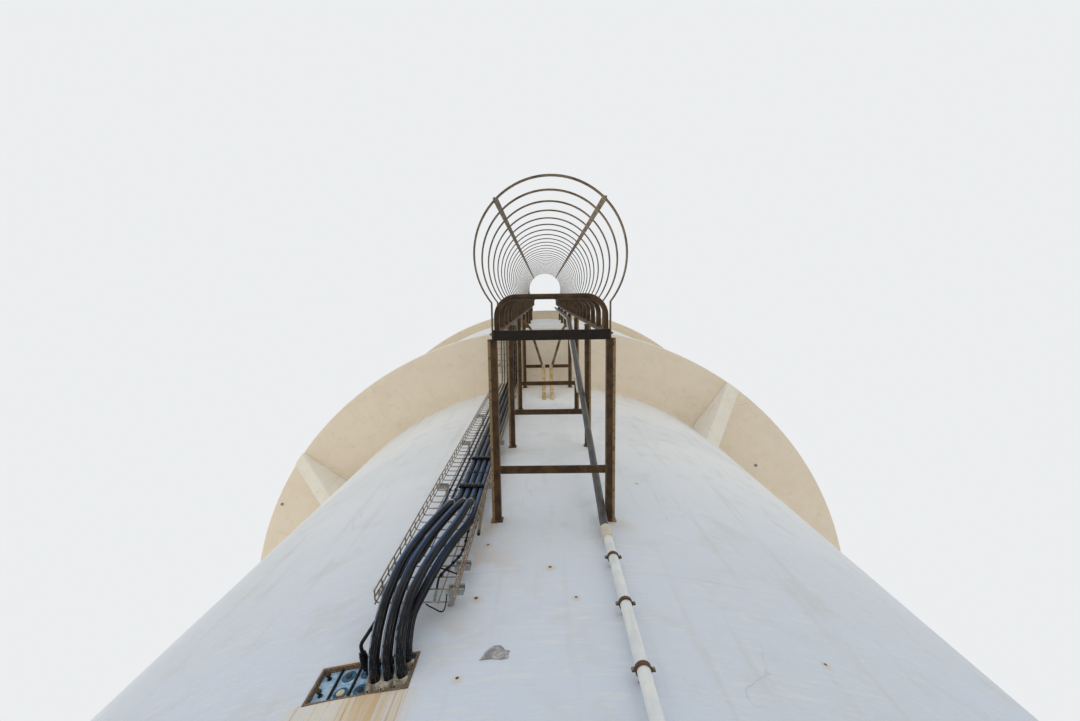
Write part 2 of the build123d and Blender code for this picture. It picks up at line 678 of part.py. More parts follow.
def cage():
    """Safety cage: hoops in three parts that meet at the straps, and the straps."""
    inner = CAGE_R - HOOP_THICK / 2
    outer = CAGE_R + HOOP_THICK / 2
    kink_x, kink_y = hoop_kink()
    kink_azimuth = 180 - degrees(atan2(kink_x, kink_y - CAGE_Y))
    front = Pos(0, CAGE_Y, 0) * ring_sector(inner, outer, 0, HOOP_WIDTH, -STRAP_AZIMUTH, STRAP_AZIMUTH)
    side = Pos(0, CAGE_Y, 0) * ring_sector(inner, outer, 0, HOOP_WIDTH, STRAP_AZIMUTH, kink_azimuth)
    side += block(
        STILE_OUTER_X, STILE_OUTER_X + HOOP_THICK, kink_y - HOOP_THICK / 2,
        -STILE_BACK - HOOP_END_INSET, 0, HOOP_WIDTH,
    )
    parts = {"cage_hoops_front": [], "cage_hoops_right": [], "cage_hoops_left": []}
    for index in range(RUNG_COUNT):
        lift = Pos(0, 0, FIRST_RUNG_Z + index * RUNG_PITCH - HOOP_WIDTH / 2)
        parts["cage_hoops_front"].append(lift * front)
        parts["cage_hoops_right"].append(lift * side)
        parts["cage_hoops_left"].append(lift * mirror(side, about=Plane.YZ))
    nodes = {name: Compound(children=solids) for name, solids in parts.items()}
    nodes["cage_straps"] = cage_straps(inner)
    return nodes


def cage_straps(hoop_inner):
    """Two upright straps inside the hoops."""
    z0 = FIRST_RUNG_Z - HOOP_WIDTH / 2 - STRAP_ABOVE
    z1 = LAST_RUNG_Z + HOOP_WIDTH / 2 + STRAP_ABOVE
    half = STRAP_WIDTH / 2
    y0 = STRAP_CLEARANCE - hoop_inner
    strap = block(-half, half, y0, y0 + STRAP_THICK, z0, z1)
    turns = (-STRAP_AZIMUTH, STRAP_AZIMUTH)
    return Compound(children=[Pos(0, CAGE_Y, 0) * Rot(0, 0, turn) * strap for turn in turns])


def cable_transit():
    """Steel frame set in the wall, and the modules packed inside it."""
    y_front = transit_face_y()
    y_back = y_front + TRANSIT_DEPTH
    half_w = TRANSIT_WIDTH / 2
    half_h = TRANSIT_HEIGHT / 2
    clear = half_h - TRANSIT_SHEET
    module_half = (module_height() - MODULE_GAP) / 2
    frame = block(-half_w, half_w, y_front, y_back, -half_h, half_h)
    modules = []
    for column, (x0, x1) in enumerate(module_columns()):
        frame -= block(x0, x1, y_front - CUT, y_back + CUT, -clear, clear)
        for row in range(TRANSIT_ROWS):
            face = module_centre(column, row)
            modules.append(in_transit(block(
                x0, x1, face.Y, face.Y + MODULE_DEPTH, face.Z - module_half, face.Z + module_half,
            )))
    frame -= block(
        -half_w + TRANSIT_SHEET, half_w - TRANSIT_SHEET,
        y_front - CUT, y_front + MODULE_SET_BACK - TRANSIT_SHEET, -clear, clear,
    )
    return {"transit_frame": in_transit(frame), "transit_modules": Compound(children=modules)}


def tray_back_y():
    """Y of the wall tray's back sheet, on the side that faces the wall."""
    return wall_y(TOWER_R, TRAY_MIDDLE) - TRAY_STAND_OFF


def drum_tray_back_y():
    """Y of the drum tray's back sheet, clear of the drum slab's edge."""
    return wall_y(SLAB_R, TRAY_RIGHT) - DRUM_TRAY_STAND_OFF


def channel(width, length):
    """Tray channel along +Z with its back in the XZ plane and its sides towards -Y."""
    solid = block(0, width, -TRAY_DEPTH, 0, 0, length)
    inner = block(TRAY_SHEET, width - TRAY_SHEET, -TRAY_DEPTH - CUT, -TRAY_SHEET, -CUT, length + CUT)
    return solid - inner


def cable_trays():
    """Cable tray up the tower wall, out below the slab and up the drum wall."""
    wall_top = TRAY_SOFFIT_Z - TRAY_END_GAP
    wall_tray = Pos(TRAY_LEFT, tray_back_y(), TRAY_FOOT_Z) * channel(TRAY_WIDTH, wall_top - TRAY_FOOT_Z)
    start_y = tray_back_y() - TRAY_SHEET - CABLE_D - SOFFIT_BEND_R
    end_y = drum_tray_back_y() - TRAY_DEPTH
    soffit = Rot(90, 0, 0) * channel(TRAY_WIDTH, start_y - end_y)
    soffit = Pos(TRAY_LEFT, start_y, TRAY_SOFFIT_BASE) * mirror(soffit, about=Plane.XY)
    drum_foot = SLAB_TOP + TRAY_END_GAP / 2
    drum_top = GALLERY_SOFFIT_Z - TRAY_END_GAP
    drum_tray = Pos(TRAY_LEFT, drum_tray_back_y(), drum_foot) * channel(TRAY_WIDTH, drum_top - drum_foot)
    return {
        "cable_tray_wall": wall_tray,
        "cable_tray_soffit": soffit,
        "cable_tray_drum": drum_tray,
        "tray_rails": tray_rails(wall_top, drum_foot, drum_top),
    }


def cross_rails(back_y, radius, z):
    """Two short rails behind a tray's sides, each on a stem that holds it off a round wall."""
    half = CROSS_RAIL_HEIGHT / 2
    middle_y = back_y + CROSS_RAIL_DEPTH / 2
    rails = []
    for edge, inwards in ((TRAY_LEFT, 1), (TRAY_RIGHT, -1)):
        ends = sorted((
            edge - inwards * CROSS_RAIL_OVERHANG,
            edge + inwards * (CROSS_RAIL_LENGTH - CROSS_RAIL_OVERHANG),
        ))
        rail = block(*ends, back_y, back_y + CROSS_RAIL_DEPTH, z - half, z + half)
        x = edge + inwards * STEM_INSET
        rail += tube_between((x, -radius + WALL_OVERRUN, z), (x, middle_y, z), STEM_D)
        rails.append(rail - disc(radius, 0, GALLERY_SOFFIT_Z))
    return rails


def tray_rails(wall_top, drum_foot, drum_top):
    """Cross rails behind the upright trays, and hangers of the one below the slab."""
    wall_heights = [TRAY_FOOT_Z + rise for rise in CROSS_RAIL_RISES]
    while wall_heights[-1] + CROSS_RAIL_PITCH < wall_top:
        wall_heights.append(wall_heights[-1] + CROSS_RAIL_PITCH)
    drum_heights = [drum_foot + CROSS_RAIL_PITCH / 2]
    while drum_heights[-1] + CROSS_RAIL_PITCH < drum_top:
        drum_heights.append(drum_heights[-1] + CROSS_RAIL_PITCH)
    solids = []
    for z in wall_heights:
        solids += cross_rails(tray_back_y(), TOWER_R, z)
    for z in drum_heights:
        solids += cross_rails(drum_tray_back_y(), DRUM_R, z)
    base = TRAY_SOFFIT_BASE + TRAY_SHEET
    first_inset, last_inset = HANGER_INSETS
    for y in (tray_back_y() - first_inset, -SLAB_R + last_inset):
        x = TRAY_LEFT + STEM_INSET
        solids.append(tube_between((x, y, base), (x, y, SOFFIT_Z), HANGER_D))
    return Compound(children=solids)


def lane_points(lane_x, diameter):
    """Route of a cable from the wall tray up to the gallery slab."""
    wall_run_y = tray_back_y() - TRAY_SHEET - diameter / 2
    drum_run_y = drum_tray_back_y() - TRAY_SHEET - diameter / 2
    soffit_z = TRAY_SOFFIT_BASE + TRAY_SHEET + diameter / 2
    return [
        (lane_x, wall_run_y, TRAY_FOOT_Z + LANE_RISE),
        (lane_x, wall_run_y, soffit_z),
        (lane_x, drum_run_y, soffit_z),
        (lane_x, drum_run_y, GALLERY_SOFFIT_Z),
    ]


def thick_cables():
    """Thick cables from the transit, bulging up into the tray."""
    cables = {}
    for index, (module, corners) in enumerate(CABLE_ROUTES):
        lane = lane_points(FIRST_LANE_X + index * CABLE_LANE_PITCH, CABLE_D)
        points = [tuple(transit_point(*module))] + list(corners) + lane
        cables[f"cable_{index + 1}"] = swept_tube(points, arc_radii(points), CABLE_D)
    return cables


def thin_cables():
    """Thin cable with an inline connector, and a spare one tied along the tray."""
    start, foot, tip, turn = (
        tuple(transit_point(2, 1, outwards)) for outwards in (
            0, CONNECTOR_OUT, CONNECTOR_OUT + CONNECTOR_LENGTH,
            CONNECTOR_OUT + CONNECTOR_LENGTH + 2 * THIN_CABLE_D,
        )
    )
    lead = tube_between(start, foot, THIN_CABLE_D)
    lane = lane_points(THIN_LANE_X, THIN_CABLE_D)
    lane_y = lane[0][1]
    entry_x = THIN_LANE_X - THIN_SHIFT
    run = [
        tip, turn,
        (entry_x, lane_y, TRAY_FOOT_Z - THIN_DROP), (entry_x, lane_y, TRAY_FOOT_Z + THIN_RISE),
    ] + lane
    cable = swept_tube(run, arc_radii(run), THIN_CABLE_D)
    spare = lane_points(SPARE_LANE_X, THIN_CABLE_D)
    spare_y = spare[0][1]
    spare[0] = (SPARE_LANE_X, spare_y, TRAY_FOOT_Z + SPARE_TURN_RISE)
    end = (SPARE_LANE_X - SPARE_END_SHIFT, spare_y - SPARE_END_OUT, TRAY_FOOT_Z + SPARE_END_RISE)
    spare = [end] + spare
    return {
        "inline_connector": tube_between(foot, tip, CONNECTOR_D),
        "thin_cable": Compound(children=[lead, cable]),
        "spare_cable": swept_tube(spare, arc_radii(spare), THIN_CABLE_D),
    }


def pipes():
    """White pipe up the wall, its coupling, the grey pipe to the ladder and a conduit."""
    white = tube_between((PIPE_X, PIPE_Y, 0), (PIPE_X, PIPE_Y, WHITE_PIPE_TOP), PIPE_D)
    coupling = tube_between((PIPE_X, PIPE_Y, WHITE_PIPE_TOP), (PIPE_X, PIPE_Y, COUPLING_TOP), COUPLING_D)
    lean_z = COUPLING_TOP + GREY_PIPE_STUB
    route = [
        (PIPE_X, PIPE_Y, COUPLING_TOP),
        (PIPE_X, PIPE_Y, lean_z),
        (PIPE_X, GREY_PIPE_Y, GREY_PIPE_TURN_Z),
        (PIPE_X, GREY_PIPE_Y, STILE_TOP),
    ]
    slope = (GREY_PIPE_Y - PIPE_Y) / (GREY_PIPE_TURN_Z - lean_z)
    x = PIPE_X - PIPE_D / 2 - CONDUIT_D / 2 - CONDUIT_GAP
    conduit_route = [
        (x, PIPE_Y + slope * (CONDUIT_FOOT_Z - lean_z), CONDUIT_FOOT_Z),
        (x, GREY_PIPE_Y, GREY_PIPE_TURN_Z),
        (x, GREY_PIPE_Y, GALLERY_SOFFIT_Z + GALLERY_THICK / 2),
    ]
    return {
        "white_pipe": white,
        "pipe_coupling": coupling,
        "grey_pipe": swept_tube(route, [GREY_PIPE_FOOT_BEND, GREY_PIPE_HEAD_BEND], PIPE_D),
        "light_conduit": swept_tube(conduit_route, [GREY_PIPE_HEAD_BEND], CONDUIT_D),
    }


def pipe_clamps():
    """Saddles that hold the white pipe on the wall."""
    inner = PIPE_D / 2
    outer = inner + PIPE_CLAMP_THICK
    ear_x = outer + PIPE_CLAMP_EAR
    half_ear = PIPE_CLAMP_EAR_THICK / 2
    half_stem = PIPE_CLAMP_STEM / 2
    solids = []
    for index in range(PIPE_CLAMP_COUNT):
        z = WHITE_PIPE_TOP - PIPE_CLAMP_DROP - index * PIPE_CLAMP_PITCH
        z0 = z - PIPE_CLAMP_HEIGHT / 2
        z1 = z + PIPE_CLAMP_HEIGHT / 2
        ring = Pos(PIPE_X, PIPE_Y, z) * Cylinder(outer, PIPE_CLAMP_HEIGHT)
        stem = block(PIPE_X - half_stem, PIPE_X + half_stem, PIPE_Y, -TOWER_R + WALL_OVERRUN, z0, z1)
        ears = block(PIPE_X - ear_x, PIPE_X + ear_x, PIPE_Y - half_ear, PIPE_Y + half_ear, z0, z1)
        clamp = ring + stem + ears - disc(TOWER_R, z0 - CUT, z1 + CUT)
        bore = Pos(PIPE_X, PIPE_Y, z) * Cylinder(inner, PIPE_CLAMP_HEIGHT + 2 * CUT)
        solids.append(clamp - bore)
    return {"pipe_clamps": Compound(children=solids)}


def main():
    """Build every node and write one file for each."""
    groups = (
        floors, tower_walls, drum_walls, slab_ribs, door, railings, lantern,
        ladder_stiles, ladder_rungs, wall_brackets, drum_brackets, struts, cage,
        cable_transit, cable_trays, thick_cables, thin_cables, pipes, pipe_clamps,
    )
    os.makedirs("parts", exist_ok=True)
    for group in groups:
        for name, shape in group().items():
            export_step(shape, f"parts/{name}.step")


main()
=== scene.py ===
import logging
import random
from collections.abc import Iterable, Sequence
from dataclasses import dataclass
from enum import Enum
from functools import reduce
from math import asin, cos, degrees, pi, radians, sin, sqrt, tau

import bmesh
import bpy
from mathutils import Matrix, Vector, noise


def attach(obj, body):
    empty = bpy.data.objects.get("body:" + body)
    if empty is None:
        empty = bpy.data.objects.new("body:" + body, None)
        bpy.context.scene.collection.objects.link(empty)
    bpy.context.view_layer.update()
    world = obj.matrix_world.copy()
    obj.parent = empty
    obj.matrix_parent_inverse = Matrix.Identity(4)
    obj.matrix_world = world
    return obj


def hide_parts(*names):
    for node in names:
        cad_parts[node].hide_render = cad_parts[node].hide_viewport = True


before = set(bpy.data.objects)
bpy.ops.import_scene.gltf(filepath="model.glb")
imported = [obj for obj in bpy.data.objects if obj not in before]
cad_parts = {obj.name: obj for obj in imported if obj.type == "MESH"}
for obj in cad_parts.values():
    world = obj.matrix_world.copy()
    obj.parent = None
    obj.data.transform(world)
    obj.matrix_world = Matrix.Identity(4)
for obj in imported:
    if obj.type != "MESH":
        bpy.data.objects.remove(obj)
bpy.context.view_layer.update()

LOG = logging.getLogger("lighthouse")
Colour = tuple[float, float, float]
Pair = tuple[float, float]
Point = Sequence[float]
Socket = bpy.types.NodeSocket
FRONT = (0, -1, 0)
UPWARDS = (0, 0, 1)


class Slot(Enum):
    """Material slots of the record that the scene's own pieces take."""

    RENDER = "white_render"
    LADDER = "ladder_paint"
    CAGE = "cage_steel"
    CREAM = "cream_paint"
    GALVANISED = "galvanised_steel"
    GREY_PLASTIC = "grey_plastic"
    BEIGE_PLASTIC = "beige_plastic"
    CABLE = "cable_rubber"
    TRANSIT_RUBBER = "transit_rubber"
    DOOR = "door_paint"
    RAILING = "railing_paint"
    LANTERN = "lantern_paint"


class Axis(Enum):
    """Axes of the tower's frame, in the order of a separated vector."""

    ACROSS = 0
    OUT = 1
    UP = 2


def seen(shown: str) -> Colour:
    """Linear colour of a surface from the hexadecimal values that it is seen with."""
    levels = [value / 255 for value in bytes.fromhex(shown)]
    return tuple(v / 12.92 if v <= 0.04045 else ((v + 0.055) / 1.055) ** 2.4 for v in levels)


def around(radius: float, azimuth: float, z: float = 0.0) -> Vector:
    """Point at a radius from the tower's axis and at an azimuth, in degrees from the front towards +X."""
    turn = radians(azimuth)
    return Vector((radius * sin(turn), -radius * cos(turn), z))


def arc(radius: float, start: float, end: float, steps: int) -> list[Pair]:
    """Points along an arc between two angles in degrees."""
    angles = [radians(start + (end - start) * k / steps) for k in range(steps + 1)]
    return [(radius * cos(a), radius * sin(a)) for a in angles]


def circle(radius: float, count: int) -> list[Pair]:
    """Points evenly round a circle."""
    return [(radius * cos(tau * k / count), radius * sin(tau * k / count)) for k in range(count)]


def about(radius: float, height: float, *offsets: Pair) -> list[Pair]:
    """Profile given as offsets in millimetres from a radius and a height."""
    return [(radius + a / 1000, height + b / 1000) for a, b in offsets]


def moved(x: float, y: float, z: float) -> Matrix:
    """Place moved from the origin and not turned."""
    return Matrix.Translation((x, y, z))


def wall_y(radius: float, x: float) -> float:
    """Y of a round wall's front face at a distance x from the middle."""
    return -sqrt(radius**2 - x**2)


def stand(at: Point, normal: Point, up: Point = UPWARDS) -> Matrix:
    """Place whose Z points along a normal.

    Args:
        at: Where the place is.
        normal: Direction of its Z.
        up: Direction that its Y comes nearest to.

    Returns:
        The placing matrix.
    """
    z_axis = Vector(normal).normalized()
    x_axis = Vector(up).cross(z_axis)
    if x_axis.length < 1e-6:
        x_axis = Vector((1, 0, 0))
    x_axis.normalize()
    place = Matrix((x_axis, z_axis.cross(x_axis), z_axis)).transposed().to_4x4()
    place.translation = Vector(at)
    return place


def ahead(x: float, y: float, z: float) -> Matrix:
    """Place whose Z points to the front."""
    return stand((x, y, z), FRONT)


def smooth_path(points: Sequence[Point], steps: int = 6) -> list[Vector]:
    """Smooth line through points.

    Args:
        points: Points that the line passes through.
        steps: Pieces between two points.

    Returns:
        The line's points.
    """
    given = [Vector(p) for p in points]
    line = []
    for index in range(len(given) - 1):
        before = given[max(index - 1, 0)]
        start, end = given[index], given[index + 1]
        after = given[min(index + 2, len(given) - 1)]
        for step in range(steps):
            t = step / steps
            line.append(0.5 * (
                2 * start + (end - before) * t + (2 * before - 5 * start + 4 * end - after) * t**2
                + (3 * start - before - 3 * end + after) * t**3))
    line.append(given[-1])
    return line


def mitred(corners: Sequence[Point], near: float) -> list[Vector]:
    """Closed line round corners, with a point close to each on both of its sides.

    Args:
        corners: Corners of the line.
        near: Distance of the close points.

    Returns:
        The line's points.
    """
    path = []
    given = [Vector(p) for p in corners]
    for index, corner in enumerate(given):
        before, after = given[index - 1], given[(index + 1) % len(given)]
        path += [
            corner + (before - corner).normalized() * near, corner,
            corner + (after - corner).normalized() * near]
    return path


def rounded_bar(width: float, thick: float, arris: float) -> list[Pair]:
    """Section of a flat bar with its corners eased.

    Args:
        width: Size along the section's first axis.
        thick: Size along its second axis.
        arris: Size of the eased corners.

    Returns:
        The section's corners in order.
    """
    a, b = width / 2, thick / 2
    return [
        (a - arris, -b), (a, -b + arris), (a, b - arris), (a - arris, b), (-a + arris, b), (-a, b - arris),
        (-a, -b + arris), (-a + arris, -b)]


def angle_section(wide: float, high: float, thick: float, arris: float = 0.0012) -> list[Pair]:
    """Section of a rolled angle with its heel at the origin.

    Args:
        wide: Length of the leg along the section's first axis.
        high: Length of the other leg.
        thick: Thickness of the legs.
        arris: Size of the eased corners.

    Returns:
        The section's corners in order.
    """
    return [
        (arris, 0), (wide - arris, 0), (wide, arris), (wide, thick - arris), (wide - arris, thick),
        (thick + 2 * arris, thick), (thick, thick + 2 * arris), (thick, high - arris),
        (thick - arris, high), (arris, high), (0, high - arris), (0, arris)]


def add_object(name: str, data: bpy.types.ID) -> bpy.types.Object:
    """Add an object to the scene.

    Args:
        name: Name of the object.
        data: Its mesh, light or camera.

    Returns:
        The object.
    """
    made = bpy.data.objects.new(name, data)
    bpy.context.scene.collection.objects.link(made)
    return made


def add_node(
    tree: bpy.types.NodeTree, kind: str, inputs: dict | None = None, **settings: object,
) -> bpy.types.Node:
    """Add a node to a tree.

    Args:
        tree: Tree that it is added to.
        kind: Blender's name for the node, without its first part.
        inputs: Value or socket for each input, by name or number.
        settings: Properties of the node.

    Returns:
        The node.
    """
    made = tree.nodes.new(f"ShaderNode{kind}")
    for key, value in settings.items():
        setattr(made, key, value)
    for key, value in (inputs or {}).items():
        socket = made.inputs[key]
        if isinstance(value, Socket):
            tree.links.new(value, socket)
        else:
            socket.default_value = (*value, 1) if socket.type == "RGBA" else value
    return made


class Form:
    """Mesh under construction, its points in the tower's frame and in metres."""

    def __init__(self) -> None:
        """Start with no points and the first finish."""
        self.points: list[Vector] = []
        self.faces: list[tuple[int, ...]] = []
        self.kinds: list[int] = []
        self.kind = 0

    def face(self, corners: Sequence[int]) -> None:
        """Add one face in the current finish."""
        self.faces.append(tuple(corners))
        self.kinds.append(self.kind)

    def skin(self, rings: Sequence[Sequence[Vector]], closed: bool = False, cap: bool = True) -> None:
        """Join rings of points into a closed shell.

        Args:
            rings: Rings that each have the same number of points.
            closed: Whether the last ring joins the first one.
            cap: Whether an open run of rings gets end faces.
        """
        base, width, count = len(self.points), len(rings[0]), len(rings)
        for ring in rings:
            self.points.extend(Vector(p) for p in ring)
        for row in range(count if closed else count - 1):
            here, there = base + row * width, base + (row + 1) % count * width
            for k in range(width):
                after = (k + 1) % width
                self.face((here + k, here + after, there + after, there + k))
        if cap and not closed:
            self.face(range(base + width - 1, base - 1, -1))
            self.face(range(base + (count - 1) * width, base + count * width))

    def mirror(self) -> None:
        """Add the mirror image of everything drawn so far, across the tower's middle."""
        base = len(self.points)
        self.points.extend([Vector((-p.x, p.y, p.z)) for p in self.points])
        self.faces.extend([tuple(base + k for k in reversed(face)) for face in self.faces[:]])
        self.kinds.extend(self.kinds[:])

    def sweep(
        self, path: Sequence[Point], section: Sequence[Pair], side: Point | None = None,
        closed: bool = False,
    ) -> None:
        """Draw a section along a path.

        Args:
            path: Points of the path.
            section: Corners of the section, along side and across it.
            side: Direction of the section's first axis at the start.
            closed: Whether the path is a loop.
        """
        line = [Vector(p) for p in path]
        count = len(line)
        rings = []
        across = Vector(side) if side is not None else None
        for index, point in enumerate(line):
            before = line[index - 1] if index or closed else point
            after = line[(index + 1) % count] if index < count - 1 or closed else point
            along = (after - before).normalized()
            if across is None:
                across = along.orthogonal()
            across = (across - along * across.dot(along)).normalized()
            other = along.cross(across)
            rings.append([point + across * a + other * b for a, b in section])
        self.skin(rings, closed=closed)

    def tube(self, path: Sequence[Point], radius: float, sides: int = 8, closed: bool = False) -> None:
        """Draw a round bar along a path or a loop."""
        self.sweep(path, circle(radius, sides), closed=closed)

    def lathe(
        self, profile: Sequence[Pair], place: Matrix | None = None, segments: int = 24,
        closed: bool = False,
    ) -> None:
        """Turn a profile round an axis.

        Args:
            profile: Radius and height of each ring.
            place: Where the axis stands; the tower's own axis if left out.
            segments: Points round each ring.
            closed: Whether the profile is a loop, for a ring with a hole.
        """
        place = place or Matrix.Identity(4)
        rings = [[place @ Vector((*p, h)) for p in circle(r, segments)] for r, h in profile]
        self.skin(rings, closed=closed)

    def plate(self, outline: Sequence[Pair], thick: float, place: Matrix, arris: float = 0.001) -> None:
        """Make a plate from a convex outline, its edges eased.

        Args:
            outline: Corners in the place's XY plane.
            thick: Thickness along its Z.
            place: Where the plate's back is.
            arris: Size of the eased edges.
        """
        count = len(outline)
        mid = Vector((sum(p[0] for p in outline), sum(p[1] for p in outline))) / count
        inset = []
        for corner in outline:
            to_mid = mid - Vector(corner)
            inset.append(Vector(corner) + to_mid.normalized() * min(arris * 1.4, to_mid.length))
        levels = ((inset, 0), (outline, arris), (outline, thick - arris), (inset, thick))
        self.skin([[place @ Vector((p[0], p[1], h)) for p in ring] for ring, h in levels])

    def block(self, size: Point, place: Matrix, arris: float = 0.001) -> None:
        """Make a block of a length, width and height that stands on its place, its edges eased."""
        self.plate(rounded_bar(size[0], size[1], arris), size[2], place, arris)

    def bolt(self, place: Matrix, size: float, stud: float = 0.0) -> None:
        """Make a hexagon head on a washer.

        Args:
            place: Middle of the washer's foot, with Z outwards.
            size: Diameter of the shank.
            stud: How far the thread stands out of the nut.
        """
        washer = size * 1.05
        self.lathe([(washer, 0), (washer, size * 0.16), (washer * 0.94, size * 0.2)], place, 14)
        spin = place @ moved(0, 0, size * 0.19) @ Matrix.Rotation(place.translation.z * 9, 4, "Z")
        self.plate(circle(size * 0.9, 6), size * 0.7, spin, size * 0.1)
        if stud:
            top = size * 0.85
            self.lathe([
                (size * 0.5, top), (size * 0.5, top + stud), (size * 0.38, top + stud + size * 0.12),
            ], place, 10)

    def settle(
        self, name: str, finishes: Sequence["Finish"], stands_for: Sequence[str] = (),
        sharp: float = 35.0,
    ) -> bpy.types.Object:
        """Turn the form into a piece that rides on the tower.

        Args:
            name: Name of the piece.
            finishes: Finish for each kind of face.
            stands_for: CAD nodes that the piece replaces.
            sharp: Edges that turn by more than this many degrees stay sharp.

        Returns:
            The piece.
        """
        mesh = bpy.data.meshes.new(name)
        mesh.from_pydata([tuple(p) for p in self.points], [], self.faces)
        for finish in finishes:
            mesh.materials.append(finish.material())
        mesh.polygons.foreach_set("material_index", self.kinds)
        shape = bmesh.new()
        shape.from_mesh(mesh)
        bmesh.ops.recalc_face_normals(shape, faces=shape.faces)
        shape.to_mesh(mesh)
        shape.free()
        mesh.shade_smooth()
        mesh.set_sharp_from_angle(angle=radians(sharp))
        piece = add_object(name, mesh)
        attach(piece, "root")
        if stands_for:
            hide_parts(*stands_for)
        LOG.info("%s: %d faces", name, len(mesh.polygons))
        return piece


def ease(piece: bpy.types.Object, width: float, segments: int = 2) -> None:
    """Round a piece's sharp edges.

    Args:
        piece: Piece to round.
        width: Width of the rounding.
        segments: Faces across it.
    """
    bevel = piece.modifiers.new("eased", "BEVEL")
    bevel.width = width
    bevel.segments = segments
    bevel.limit_method = "ANGLE"
    bevel.angle_limit = radians(50)


def dress(nodes: Iterable[str], finish: "Finish") -> None:
    """Give CAD nodes a finish.

    Args:
        nodes: Names of the nodes.
        finish: Finish that they take.
    """
    for name in nodes:
        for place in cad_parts[name].material_slots:
            place.material = finish.material()
        LOG.info("%s: dressed in %s", name, finish.name)


